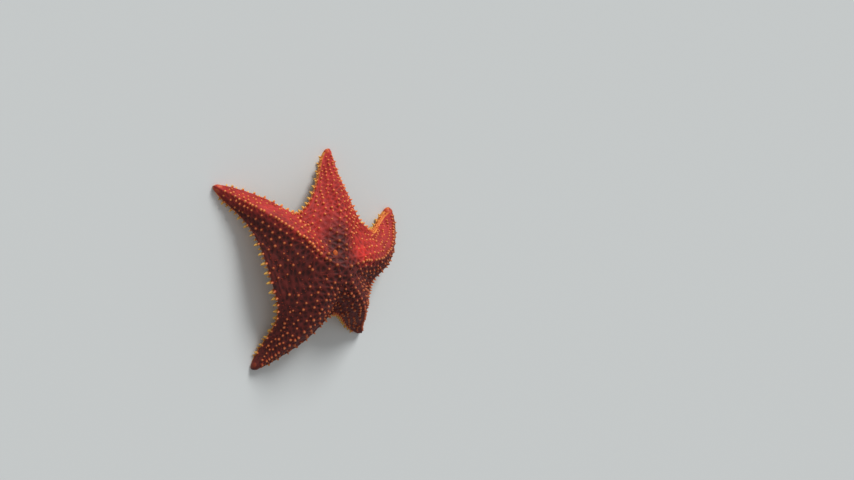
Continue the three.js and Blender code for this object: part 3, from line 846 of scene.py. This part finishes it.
def mottle_group():
    """Shader group: drifts a colour lighter and darker in soft blotches."""
    name = "Living mottle"
    if name in bpy.data.node_groups:
        return bpy.data.node_groups[name]
    shades = {
        "Colour": ("NodeSocketColor", (0.5, 0.5, 0.5, 1)),
        "Scale": ("NodeSocketFloat", 60.0),
        "Amount": ("NodeSocketFloat", 0.3),
    }
    group, given, made = new_group(name, shades, {"Colour": "NodeSocketColor"})
    place = add(group, "ShaderNodeTexCoord").outputs["Object"]
    blotches = {"Vector": place, "Scale": given["Scale"], "Detail": 4.0}
    noise = add(group, "ShaderNodeTexNoise", blotches)
    centred = calc(group, "SUBTRACT", noise.outputs["Fac"], 0.5)
    gain = calc(group, "ADD", calc(group, "MULTIPLY", centred, given["Amount"]), 1.0)
    shade = add(group, "ShaderNodeCombineColor", {0: gain, 1: gain, 2: gain}).outputs[0]
    group.links.new(mix(group, 1.0, given["Colour"], shade, "MULTIPLY"), made["Colour"])
    return group


def grain_group():
    """Shader group: height of fine round granules with pores between them."""
    name = "Fine granules"
    if name in bpy.data.node_groups:
        return bpy.data.node_groups[name]
    sizes = {"Scale": ("NodeSocketFloat", 900.0)}
    group, given, made = new_group(name, sizes, {"Height": "NodeSocketFloat"})
    place = add(group, "ShaderNodeTexCoord").outputs["Object"]
    cells = add(group, "ShaderNodeTexVoronoi", {"Vector": place, "Scale": given["Scale"]})
    dome = calc(group, "SUBTRACT", 1.0, cells.outputs["Distance"])
    noise = add(group, "ShaderNodeTexNoise", {"Vector": place, "Scale": 260.0, "Detail": 3.0})
    group.links.new(calc(group, "ADD", dome, noise.outputs["Fac"]), made["Height"])
    return group


def finish_material(material, base, roughness, bump_strength, grain_scale):
    """Ends a material: mottled base colour, granular bump and a Principled surface."""
    tree = material.node_tree
    mottle = add(tree, "ShaderNodeGroup", node_tree=mottle_group())
    tree.links.new(base, mottle.inputs["Colour"])
    mottle.inputs["Scale"].default_value = 90.0
    mottle.inputs["Amount"].default_value = 0.5
    grain = add(tree, "ShaderNodeGroup", node_tree=grain_group())
    grain.inputs["Scale"].default_value = grain_scale
    bump = add(tree, "ShaderNodeBump", {
        "Height": grain.outputs["Height"], "Strength": bump_strength, "Distance": 0.4 * MM,
    })
    surface = add(tree, "ShaderNodeBsdfPrincipled", {
        "Base Color": mottle.outputs["Colour"],
        "Roughness": roughness,
        "Specular IOR Level": 0.27,
        "Normal": bump.outputs["Normal"],
    })
    end_material(tree, surface)


def end_material(tree, surface):
    """Joins a material's surface to its output."""
    output = add(tree, "ShaderNodeOutputMaterial")
    tree.links.new(surface.outputs["BSDF"], output.inputs["Surface"])


def blank_material(name):
    """A node material with nothing in it."""
    material = bpy.data.materials.new(name)
    material.use_nodes = True
    material.node_tree.nodes.clear()
    return material


def skin_material():
    """Red skin: dark between the ridges, pinkish in drifts, orange on the wall and underneath."""
    colours = bpy.context.scene.sea_star_colours
    material = blank_material("Red skin")
    tree = material.node_tree
    place = add(tree, "ShaderNodeTexCoord").outputs["Object"]
    drift = add(tree, "ShaderNodeTexNoise", {"Vector": place, "Scale": 22.0, "Detail": 3.0})
    wander = add(tree, "ShaderNodeTexNoise", {"Vector": place, "Scale": 34.0, "Detail": 4.0})
    drift = add(tree, "ShaderNodeMapRange", {0: drift.outputs["Fac"], 1: 0.42, 2: 0.66})
    net = attribute(tree, "net")
    base = mix(tree, net, rgba(colours.hollow), rgba(colours.ridge))
    base = mix(tree, calc(tree, "MULTIPLY", drift.outputs[0], 0.6), base, rgba(colours.blush))
    # painted shade, with some brown on the disc: beyond two crests, on the flanks turned from the
    # light, the net turns brown-red and maroon
    sway = calc(tree, "MULTIPLY", calc(tree, "SUBTRACT", wander.outputs["Fac"], 0.5), 0.5)
    shade_and_brown = calc(tree, "ADD", attribute(tree, "shade_and_brown"), sway)
    shade_and_brown = add(tree, "ShaderNodeMapRange", {0: shade_and_brown, 1: SHADE_RANGE[0], 2: SHADE_RANGE[1]})
    brown = mix(tree, net, rgba(colours.shade_and_brown_hollow), rgba(colours.shade_and_brown_ridge))
    base = mix(tree, shade_and_brown.outputs[0], base, brown)
    share = calc(tree, "MULTIPLY", calc(tree, "ADD", net, 0.9), 0.4)
    share = calc(tree, "MULTIPLY", share, attribute(tree, "bright"))
    base = mix(tree, share, base, rgba(colours.bright))
    speckle = add(tree, "ShaderNodeTexVoronoi", {"Vector": place, "Scale": 620.0})
    pore = add(tree, "ShaderNodeMapRange", {0: speckle.outputs["Distance"], 1: 0.05, 2: 0.3})
    dotted = mix(tree, pore.outputs[0], rgba(colours.knob_foot), base)
    base = mix(tree, 0.35, base, dotted)
    orange = mix(tree, net, rgba(colours.knob_foot), rgba(colours.wall))
    base = mix(tree, attribute(tree, "wall"), base, orange)
    base = mix(tree, attribute(tree, "under"), base, rgba(colours.oral))
    # painted shade: the underside darkens towards the hollows' red with the depth of its grooves
    shade = calc(tree, "MULTIPLY", attribute(tree, "hollow"), 0.45)
    base = mix(tree, shade, base, rgba(colours.hollow))
    finish_material(material, base, 0.62, 0.5, 900.0)
    return material


def knob_material(name, foot, point, roughness=0.5, start=0.25, end=0.85, veil=None):
    """Tubercle or spine: one colour at the foot, another at the point, with odd ones paler."""
    veil = rgba(veil or bpy.context.scene.sea_star_colours.painted_shade_veil)
    material = blank_material(name)
    tree = material.node_tree
    rise = add(tree, "ShaderNodeMapRange", {0: attribute(tree, "rise"), 1: start, 2: end})
    tone = calc(tree, "MULTIPLY", attribute(tree, "tone"), 0.3)
    share = calc(tree, "MINIMUM", calc(tree, "ADD", rise.outputs[0], tone), 1.0)
    base = mix(tree, share, rgba(foot), rgba(point))
    # painted shade: the shade mark multiplies the colour by the veil, dimming knobs and spines on
    # the side turned from the light
    base = mix(tree, attribute(tree, "shade"), base, veil, "MULTIPLY")
    finish_material(material, base, roughness, 0.2, 1500.0)
    return material


# ---- Tubercles and spines ----

KNOB_SHRINK = 0.7  # a tubercle's size follows this power of the net's gap
KNOB_GAP = 2.3  # least distance between tubercles, in radii
SPARSE_RANGE = (40 * MM, 70 * MM)  # along here the tubercles grow sparse on the side with painted shade
BARE_NODES = (0.06, 0.2)  # share of the net's nodes left bare, and what a sparse place adds
SIEVE_CLEAR = 5 * MM  # no tubercle is nearer to the madreporite
GRANULE_TRIES = 1700
GRANULE_GAP = 1.4  # least distance from a granule to a tubercle, in a tubercle's radii
GRANULE_SHARES = (0.36, 0.4)  # radius and height of a granule, as shares of a tubercle's
SPINE_END_LENGTH = 4.4 / 6.6  # at the tips, as a share of the notches'
SPINE_END_RADIUS = 1.5 / 2.3
SPINE_SLIMMING = 0.92

# height share and radius share, from the sunken foot to the point
KNOB_PROFILE = (
    (-0.5, 1.15), (0.0, 1.1), (0.3, 0.93), (0.58, 0.75), (0.8, 0.54), (0.94, 0.29), (1.0, 0.0)
)
SPINE_PROFILE = (
    (-0.5, 1.0), (0.0, 1.0), (0.25, 0.86), (0.5, 0.69), (0.75, 0.5), (0.93, 0.3), (1.0, 0.0)
)
PEG_PROFILE = ((-0.3, 1.0), (0.1, 0.95), (0.7, 0.75), (0.95, 0.4), (1.0, 0.0))
FOOT_PROFILE = (
    (-0.1, 0.9), (0.3, 0.8), (0.6, 0.75), (0.84, 0.8), (0.9, 1.25), (0.98, 1.2), (0.96, 0.0)
)


def knob_scale(x, y):
    """Size of a tubercle at a place, as a share of the disc's."""
    return (spacing(np.hypot(x, y)) / spacing(0)) ** KNOB_SHRINK


def make_tubercles():
    """Tubercles on the nodes of the net, largest along the crests, with small ones between."""
    sizes = bpy.context.scene.sea_star_sizes
    colours = bpy.context.scene.sea_star_colours
    random = np.random.default_rng(11)
    x, y, row = net_nodes()
    clear = np.hypot(x - SIEVE_PLACE[0], y - SIEVE_PLACE[1]) > SIEVE_CLEAR
    sparse = shade_and_brown_share(x, y) * smooth(np.hypot(x, y), *SPARSE_RANGE)
    bare = BARE_NODES[0] + BARE_NODES[1] * sparse
    keep = clear & ((random.random(len(x)) > bare) | (row == 0))
    order = np.flatnonzero(keep)[np.argsort(row[keep], kind="stable")]
    x, y, row, sparse = x[order], y[order], row[order], sparse[order]
    size = knob_scale(x, y) * (1.02 + 0.12 * shade_and_brown_share(x, y) + 0.14 * sparse)
    size *= np.where(row == 0, 1.0, random.uniform(0.76, 1.14, len(x)))
    roots = vectors(x, y, top_height(x, y) + 0.5 * sizes.net_height)
    knobs = pose(roots)
    keep = apart_enough(knobs, KNOB_GAP * sizes.knob_radius * size)
    beaded = (row == 0) & (BEADED_TO[sector(np.arctan2(y, x))[0]] > 0)
    size = size * np.where(beaded, CREST_KNOB, 1)
    x, y, size, roots, knobs = x[keep], y[keep], size[keep], roots[keep], knobs[keep]
    material = knob_material("Tubercle", colours.knob_foot, colours.knob_top)
    # the shade mark carries the painted shade onto the tubercles
    stamp(
        "tubercles", roots, top_axis(x, y), sizes.knob_radius * size, sizes.knob_height * size,
        KNOB_PROFILE, 10, material, random.random(len(x)), shade_and_brown_share(x, y),
    )
    angle = random.uniform(0, math.tau, GRANULE_TRIES)
    reach = outline(sector(angle)[1]) * np.sqrt(random.random(len(angle))) * 0.95
    x, y = polar(reach, angle)
    ridge, boss = net_marks(x, y)
    keep = (ridge > 0.55) & (boss < 0.25) & (reach < TIP_CUT - 3 * MM)
    x, y = x[keep], y[keep]
    roots = vectors(x, y, top_height(x, y) + 0.35 * sizes.net_height)
    nearest = np.linalg.norm(pose(roots)[:, None] - knobs[None], axis=-1).min(axis=1)
    x, y, roots = (part[nearest > GRANULE_GAP * sizes.knob_radius] for part in (x, y, roots))
    size = knob_scale(x, y) * random.uniform(0.7, 1.2, len(x))
    thick, tall = GRANULE_SHARES
    # the shade mark carries the painted shade onto the granules
    stamp(
        "granules", roots, top_axis(x, y), thick * sizes.knob_radius * size,
        tall * sizes.knob_height * size, KNOB_PROFILE, 6,
        knob_material("Granule", colours.ridge, colours.granule), random.random(len(x)),
        shade_and_brown_share(x, y),
    )


def make_marginal_spines():
    """Stout spines on the marginal plates: a long row between two short ones."""
    sizes = bpy.context.scene.sea_star_sizes
    colours = bpy.context.scene.sea_star_colours
    spine = knob_material("Marginal spine", colours.spine_foot, colours.spine_tip, 0.48, 0.05, 0.6)
    knob = knob_material("Marginal tubercle", colours.knob_foot, colours.knob_top)
    # first place in gaps, inset in bulges of the wall, height as a share of the wall's, lift, size
    rows = (
        ("upper_marginal_spines", knob, 0.5, 0.3, 0.86, 44 * DEG, 0.6),
        ("marginal_spines", spine, 0.5, 0.0, 0.56, 17 * DEG, 1.0),
        ("lower_marginal_spines", spine, 1.0, 0.0, 0.14, -14 * DEG, 0.6),
    )
    for name, look, shift, inset, level, lift, scale in rows:
        arm, side, step = beside_arms(np.arange(SPINES_PER_SIDE))
        share = (step + shift) / SPINES_PER_SIDE
        off = side * np.maximum(1 - share, 0) ** (SPINE_CROWDING * COLUMN_CROWDING) * HALF_STEP
        edge = outline(off)
        keep = edge * np.cos(off) < TIP_CUT - 2 * MM
        arm, side, share, off, edge = (part[keep] for part in (arm, side, share, off, edge))
        nudge = 0.01 * DEG * side
        ahead = polar(outline(off + nudge), off + nudge)
        behind = polar(outline(off - nudge), off - nudge)
        run_x, run_y = ahead[0] - behind[0], ahead[1] - behind[1]
        out = np.arctan2(-run_x * side, run_y * side) + arm * ARM_STEP
        root = edge - inset * MARGIN_BULGE * margin_height(edge)
        roots = vectors(*polar(root, off + arm * ARM_STEP), level * margin_height(edge))
        axes = vectors(*polar(math.cos(lift), out), math.sin(lift))
        random = np.random.default_rng(23)
        size = scale * random.uniform(0.88, 1.06, len(share))
        if name == "marginal_spines":
            size = size * NOTCH_SPINES[(arm + np.minimum(side, 0)) % ARM_COUNT]
        lengths = size * between((1.0, SPINE_END_LENGTH), share) * sizes.spine_length
        radii = size**0.5 * between((1.0, SPINE_END_RADIUS), share) * sizes.spine_radius
        # the shade mark carries half the painted shade onto the spines
        stamp(
            name, roots, axes, radii * SPINE_SLIMMING, lengths, SPINE_PROFILE, 10, look,
            random.random(len(share)), 0.5 * shade_and_brown_share(*roots[:, :2].T),
        )


# ---- The underside ----

SPINE_RUN = (13 * MM, 121 * MM)  # the groove spines' first and last places along an arm
FEET_RUN = (15 * MM, 118 * MM)
FEET_GAP = 2.6 * MM
FEET_OFF = 0.42  # place of a row of tube feet, as a share of the groove's half width
FEET_OUT = (3.2 * MM, 0.2 * MM)  # how far the feet reach out, at the disc and at the tips
PAVEMENT_GAP = 2.1 * MM
PAVEMENT_JITTER = 0.25 * MM
PAVEMENT_COLUMNS, PAVEMENT_ROWS = 64, 74  # to each side of the centre
PAVEMENT_CLEAR = 2.8 * MM  # from the grooves


def beside_arms(steps):
    """Arm, side and step of places in two rows along every arm."""
    grid = np.meshgrid(np.arange(ARM_COUNT), (-1, 1), steps, indexing="ij")
    return (part.ravel() for part in grid)


def turned(arm, x, y):
    """Places beside arm 0 turned to their own arms."""
    angle = arm * ARM_STEP
    return x * np.cos(angle) - y * np.sin(angle), x * np.sin(angle) + y * np.cos(angle)


def make_groove_spines():
    """Small pegs in two rows beside each groove, leaning over it, and pavement pegs beyond."""
    colours = bpy.context.scene.sea_star_colours
    random = np.random.default_rng(31)
    material = knob_material("Oral spine", colours.oral, colours.spine_tip, 0.5)
    for name, gap, clear, lean, reach in (
        ("groove_spines", 2.3 * MM, 0.2 * MM, -0.45, 2.6 * MM),
        ("outer_groove_spines", 2.9 * MM, 1.9 * MM, 0.15, 2.2 * MM),
    ):
        arm, side, along = beside_arms(np.arange(*SPINE_RUN, gap))
        share = groove_share(along)
        x, y = turned(arm, along, side * (between(GROOVE_HALF_WIDTHS, share) + clear))
        tilt = turned(arm, 0.1 * random.standard_normal(len(x)), lean * side)
        size = between((1.0, 0.45), share) * random.uniform(0.85, 1.1, len(x))
        stamp(
            name, vectors(x, y, 0.2 * MM), unit(vectors(*tilt, -1.0)), 0.55 * MM * size**0.5,
            reach * size, PEG_PROFILE, 6, material, random.random(len(x)),
        )
    columns = np.arange(-PAVEMENT_COLUMNS, PAVEMENT_COLUMNS + 1)
    rows = np.arange(-PAVEMENT_ROWS, PAVEMENT_ROWS + 1)
    column, row = (part.ravel() for part in np.meshgrid(columns, rows, indexing="ij"))
    x = PAVEMENT_GAP * (column + 0.5 * (row % 2))
    x = x + PAVEMENT_JITTER * random.standard_normal(len(column))
    y = PAVEMENT_GAP * ROW_GAP * row + PAVEMENT_JITTER * random.standard_normal(len(column))
    off = sector(np.arctan2(y, x))[1]
    distance = np.hypot(x, y)
    along, across = polar(distance, off)
    share = np.clip(groove_share(along), 0, 1)
    clear = np.abs(across) - between(GROOVE_HALF_WIDTHS, share)
    keep = (distance < outline(off) * 0.93 - 1.5 * MM) & (clear > PAVEMENT_CLEAR)
    keep &= distance > MOUTH_RADIUS + 4 * MM
    x, y, distance = x[keep], y[keep], distance[keep]
    axes = np.tile([0.0, 0.0, -1.0], (len(x), 1))
    size = random.uniform(0.75, 1.1, len(x)) * between((1.0, 0.7), distance / ARM_RADIUS)
    stamp(
        "oral_pavement", vectors(x, y, 0.0), axes, 0.85 * MM * size, 0.8 * MM * size,
        PEG_PROFILE, 6, material, random.random(len(x)),
    )


def make_tube_feet():
    """Tube feet: two rows of soft stalks with suckers in every groove."""
    sizes = bpy.context.scene.sea_star_sizes
    colours = bpy.context.scene.sea_star_colours
    random = np.random.default_rng(47)
    arm, side, along = beside_arms(np.arange(*FEET_RUN, FEET_GAP))
    share = groove_share(along)
    x, y = turned(arm, along, side * FEET_OFF * between(GROOVE_HALF_WIDTHS, share))
    depth = groove_height(x, y)
    tilt = turned(arm, 0.16 * random.standard_normal(len(x)), 0.12 * side)
    out = between(FEET_OUT, smooth(along, 60 * MM, 112 * MM))
    lengths = depth + out * random.uniform(0.6, 1.0, len(x))
    radii = sizes.foot_radius * between((1.0, 0.6), share)
    stamp(
        "tube_feet", vectors(x, y, depth), unit(vectors(*tilt, -1.0)), radii, lengths,
        FOOT_PROFILE, 8, knob_material("Tube foot", colours.tube_foot, colours.spine_tip, 0.4),
        random.random(len(x)),
    )


def make_mouth():
    """Mouth: a puckered ring of skin, r z profile round the centre, and five pairs of jaws.

    The ring is a bent sheet: out along z = 1 + 2.2 (1 - x^2) mm and back 0.8 mm above, with x
    the share of the radius.
    """
    colours = bpy.context.scene.sea_star_colours
    columns, rows, puckers = 80, 14, 20
    turn = circle(columns)
    share = np.linspace(0.16, 1, rows)
    pucker = 0.25 * MM * np.cos(puckers * turn)[None] * (1 - share[:, None])
    low = MM * (1.0 + 2.2 * (1 - share[:, None] ** 2)) + pucker
    high = np.minimum(low + 0.8 * MM, MOUTH_DEPTH - 0.2 * MM)
    radius = (MOUTH_RADIUS - 0.5 * MM) * share[:, None] * np.ones(columns)
    radius, height = np.concatenate([radius, radius[::-1]]), np.concatenate([low, high[::-1]])
    points = vectors(*polar(radius, turn), height)
    quads = grid_quads(2 * rows + 1, columns) % (2 * rows * columns)
    marks = {
        "rise": np.tile(np.concatenate([share, share[::-1]])[:, None], (1, columns)),
        "tone": np.zeros(points.shape[:2]),
    }
    ring = new_piece(
        "mouth_ring", pose(points), quads, np.empty((0, 3), int), marks, ["mouth"], "jaw_plate"
    )
    ring.data.materials.append(knob_material("Mouth ring", colours.knob_foot, colours.oral, 0.45))
    random = np.random.default_rng(53)
    arm, side, step = beside_arms(np.arange(5))
    off = HALF_STEP + side * (5 + 5 * step) * DEG
    x, y = turned(arm, *polar(MM * (6.0 + 1.15 * step), off))
    inward = unit(-vectors(x, y, 2.5 * MM))
    lengths = MM * (4.2 - 0.4 * step)
    stamp(
        "jaws", vectors(x, y, 1.4 * MM), inward, np.full(len(x), 0.85 * MM), lengths,
        PEG_PROFILE, 8, knob_material("Jaw", colours.oral, colours.spine_tip, 0.45),
        random.random(len(x)), slot="jaw_plate",
    )


# ---- Madreporite and arm tips ----


def make_madreporite():
    """Madreporite: an oval dome, z = h sqrt(1 - r^2), with furrows that wander outwards.

    The furrows are a cosine of 17 times the angle plus a slow wave of the radius.
    """
    colours = bpy.context.scene.sea_star_colours
    columns, rows, furrows = 136, 22, 17
    turn = circle(columns)
    share = np.linspace(0.06, 1.0, rows)[:, None]
    wander = furrows * turn + 2.2 * np.sin(5 * share * math.pi + 2 * turn)
    furrow = 0.16 * MM * np.cos(wander) * smooth(share, 0.1, 0.35) * (1 - smooth(share, 0.85, 1))
    half_long, half_wide, rise, sunk = 2.8 * MM, 2.0 * MM, 1.4 * MM, 2 * MM
    height = rise * np.sqrt(1 - share**2) + furrow
    local_x, local_y = half_long * share * np.cos(turn), half_wide * share * np.sin(turn)
    x0, y0 = SIEVE_PLACE
    cos, sin = math.cos(SIEVE_OFF + SIEVE_TURN), math.sin(SIEVE_OFF + SIEVE_TURN)
    x = x0 + local_x * cos - local_y * sin
    y = y0 + local_x * sin + local_y * cos
    top = vectors(x, y, top_height(x, y) + height)
    base = top[-1:] - np.array([0, 0, sunk])
    centre = vectors(x0, y0, top_height(x0, y0) + np.array([rise, -sunk]))
    points = np.concatenate([pose(np.concatenate([top, base])).reshape(-1, 3), pose(centre)])
    ridge = np.broadcast_to(0.5 + 0.5 * np.cos(wander), top.shape[:2])
    marks = {
        "rise": np.concatenate([ridge.ravel(), np.zeros(columns), [1, 0]]),
        "tone": np.zeros(len(points)),
    }
    faces = closed_grid_faces(rows + 1, columns)
    piece = new_piece("sieve_plate", points, *faces, marks, ["madreporite"], "sieve_plate")
    piece.data.materials.append(
        knob_material("Sieve plate", colours.knob_foot, colours.sieve, 0.5, 0.1, 0.9)
    )


def make_tips():
    """Terminal plates: a rounded nub at each arm's end, an ellipsoid with a notch beneath."""
    colours = bpy.context.scene.sea_star_colours
    columns, rows = 28, 17
    turn = circle(columns)
    tilt = math.pi * (np.arange(rows) + 1)[:, None] / (rows + 1)
    half = np.array([5.4, 5.0, 5.0]) * MM
    centre = np.array([129.4, 0, 4.3]) * MM
    ball = vectors(-np.cos(tilt), *polar(np.sin(tilt), turn))
    notch = np.exp(-((ball[..., 1] / 0.22) ** 2)) * smooth(ball[..., 0], 0.1, 0.8)
    notch = notch * smooth(-ball[..., 2], -0.1, 0.6)
    ball = ball * (1 - 0.16 * notch[..., None])
    poles = np.array([[-1.0, 0, 0], [1.0, 0, 0]])
    ball = np.concatenate([ball.reshape(-1, 3), poles])
    place = centre + half * ball
    arm = np.arange(ARM_COUNT)[:, None]
    x, y = turned(arm, place[:, 0], place[:, 1])
    points = vectors(x, y, place[:, 2])
    quads, triangles = closed_grid_faces(rows, columns)
    shift = (np.arange(ARM_COUNT) * len(ball))[:, None, None]
    faces = [(shift + part).reshape(-1, part.shape[1]) for part in (quads, triangles)]
    marks = {
        "rise": np.tile(0.5 + 0.5 * ball[:, 2], ARM_COUNT),
        "tone": np.zeros(ARM_COUNT * len(ball)),
        # painted shade: darkens the end plates on the side turned from the light
        "shade": shade_and_brown_share(x, y),
    }
    nodes = [f"tip_{name}" for name in ARM_NAMES]
    plates = new_piece("terminal_plates", pose(points), *faces, marks, nodes, "tip_plate")
    plates.data.materials.append(knob_material(
        "Terminal plate", colours.ridge, colours.granule, 0.5, 0.2, 1.0, colours.tip_veil
    ))


# ---- The stage ----

CAMERA_PLACE = Vector((-0.0418, -0.4176, 0.7013))
CAMERA_AIM = Vector((-0.0412, 0.1364, 0.0392))
CAMERA_ROLL = 99.2 * DEG
KEY_FROM = Vector((-0.85, 0.08, 0.58))
KEY_SPREAD = 24 * DEG
FLOOR_HALF = 6.0


def make_stage():
    """Pale floor, one soft key light, an even sky and the camera."""
    scene = bpy.context.scene
    stage = scene.sea_star_stage
    corners = [(x * FLOOR_HALF, y * FLOOR_HALF, 0) for x, y in ((-1, -1), (1, -1), (1, 1), (-1, 1))]
    mesh = bpy.data.meshes.new("floor")
    mesh.from_pydata(corners, [], [(0, 1, 2, 3)])
    floor = bpy.data.objects.new("floor", mesh)
    scene.collection.objects.link(floor)
    material = blank_material("Studio floor")
    tree = material.node_tree
    surface = add(tree, "ShaderNodeBsdfPrincipled", {
        "Base Color": rgba(scene.sea_star_colours.floor),
        "Roughness": 0.9,
        "Specular IOR Level": 0.1,
    })
    end_material(tree, surface)
    mesh.materials.append(material)

    lamp = bpy.data.lights.new("key", "SUN")
    lamp.energy = stage.key
    lamp.angle = KEY_SPREAD
    key = bpy.data.objects.new("key", lamp)
    key.rotation_mode = "QUATERNION"
    key.rotation_quaternion = KEY_FROM.to_track_quat("Z", "Y")
    scene.collection.objects.link(key)

    world = bpy.data.worlds.new("studio")
    world.use_nodes = True
    sky = world.node_tree.nodes["Background"].inputs
    sky["Color"].default_value = (1, 1, 1, 1)
    sky["Strength"].default_value = stage.sky
    scene.world = world

    lens = bpy.data.cameras.new("camera")
    lens.lens = stage.lens
    lens.sensor_width = 36.0
    camera = bpy.data.objects.new("camera", lens)
    turn = (CAMERA_AIM - CAMERA_PLACE).to_track_quat("-Z", "Y").to_matrix().to_4x4()
    roll = Matrix.Rotation(CAMERA_ROLL, 4, "Z")
    camera.matrix_world = Matrix.Translation(CAMERA_PLACE) @ turn @ roll
    scene.collection.objects.link(camera)
    scene.camera = camera
    scene.view_settings.view_transform = "Standard"


# ---- Operators, panel and registration ----


class SEASTAR_OT_stage(bpy.types.Operator):
    """Make the floor, lights and camera"""

    bl_idname = "seastar.stage"
    bl_label = "Stage"

    def execute(self, context):
        make_stage()
        return {"FINISHED"}


class SEASTAR_OT_skin(bpy.types.Operator):
    """Make the one skin of the disc and arms"""

    bl_idname = "seastar.skin"
    bl_label = "Skin"

    def execute(self, context):
        make_skin()
        return {"FINISHED"}


class SEASTAR_OT_tubercles(bpy.types.Operator):
    """Make the tubercles and granules of the upper side"""

    bl_idname = "seastar.tubercles"
    bl_label = "Tubercles"

    def execute(self, context):
        make_tubercles()
        return {"FINISHED"}


class SEASTAR_OT_marginal_spines(bpy.types.Operator):
    """Make the spines round the margin"""

    bl_idname = "seastar.marginal_spines"
    bl_label = "Marginal spines"

    def execute(self, context):
        make_marginal_spines()
        return {"FINISHED"}


class SEASTAR_OT_groove_spines(bpy.types.Operator):
    """Make the small spines and pavement of the underside"""

    bl_idname = "seastar.groove_spines"
    bl_label = "Underside spines"

    def execute(self, context):
        make_groove_spines()
        return {"FINISHED"}


class SEASTAR_OT_tube_feet(bpy.types.Operator):
    """Make the tube feet in the grooves"""

    bl_idname = "seastar.tube_feet"
    bl_label = "Tube feet"

    def execute(self, context):
        make_tube_feet()
        return {"FINISHED"}


class SEASTAR_OT_mouth(bpy.types.Operator):
    """Make the mouth ring and its jaws"""

    bl_idname = "seastar.mouth"
    bl_label = "Mouth"

    def execute(self, context):
        make_mouth()
        return {"FINISHED"}


class SEASTAR_OT_madreporite(bpy.types.Operator):
    """Make the furrowed sieve plate"""

    bl_idname = "seastar.madreporite"
    bl_label = "Madreporite"

    def execute(self, context):
        make_madreporite()
        return {"FINISHED"}


class SEASTAR_OT_tips(bpy.types.Operator):
    """Make the terminal plates of the arms"""

    bl_idname = "seastar.tips"
    bl_label = "Arm tips"

    def execute(self, context):
        make_tips()
        return {"FINISHED"}


OPERATORS = (
    SEASTAR_OT_stage,
    SEASTAR_OT_skin,
    SEASTAR_OT_tubercles,
    SEASTAR_OT_marginal_spines,
    SEASTAR_OT_groove_spines,
    SEASTAR_OT_tube_feet,
    SEASTAR_OT_mouth,
    SEASTAR_OT_madreporite,
    SEASTAR_OT_tips,
)


class SEASTAR_PT_panel(bpy.types.Panel):
    """Sea star settings and builders"""

    bl_idname = "SEASTAR_PT_panel"
    bl_label = "Sea Star"
    bl_space_type = "VIEW_3D"
    bl_region_type = "UI"
    bl_category = "Sea Star"

    def draw(self, context):
        scene = context.scene
        for settings in (scene.sea_star_sizes, scene.sea_star_colours, scene.sea_star_stage):
            box = self.layout.box()
            for name in settings.bl_rna.properties.keys():
                if name not in {"rna_type", "name"}:
                    box.prop(settings, name)
        for operator in OPERATORS:
            self.layout.operator(operator.bl_idname)


CLASSES = (SeaStarSizes, SeaStarColours, SeaStarStage, *OPERATORS, SEASTAR_PT_panel)


def register():
    """Registers the classes and hangs their settings on the scene."""
    for item in CLASSES:
        bpy.utils.register_class(item)
    bpy.types.Scene.sea_star_sizes = PointerProperty(type=SeaStarSizes)
    bpy.types.Scene.sea_star_colours = PointerProperty(type=SeaStarColours)
    bpy.types.Scene.sea_star_stage = PointerProperty(type=SeaStarStage)


def unregister():
    """Removes the settings and classes."""
    del bpy.types.Scene.sea_star_stage
    del bpy.types.Scene.sea_star_colours
    del bpy.types.Scene.sea_star_sizes
    for item in reversed(CLASSES):
        bpy.utils.unregister_class(item)


def main():
    """Makes every piece."""
    register()
    bpy.ops.seastar.stage()
    bpy.ops.seastar.skin()
    bpy.ops.seastar.tubercles()
    bpy.ops.seastar.marginal_spines()
    bpy.ops.seastar.groove_spines()
    bpy.ops.seastar.tube_feet()
    bpy.ops.seastar.mouth()
    bpy.ops.seastar.madreporite()
    bpy.ops.seastar.tips()
    bpy.context.view_layer.update()


if __name__ == "__main__":
    main()
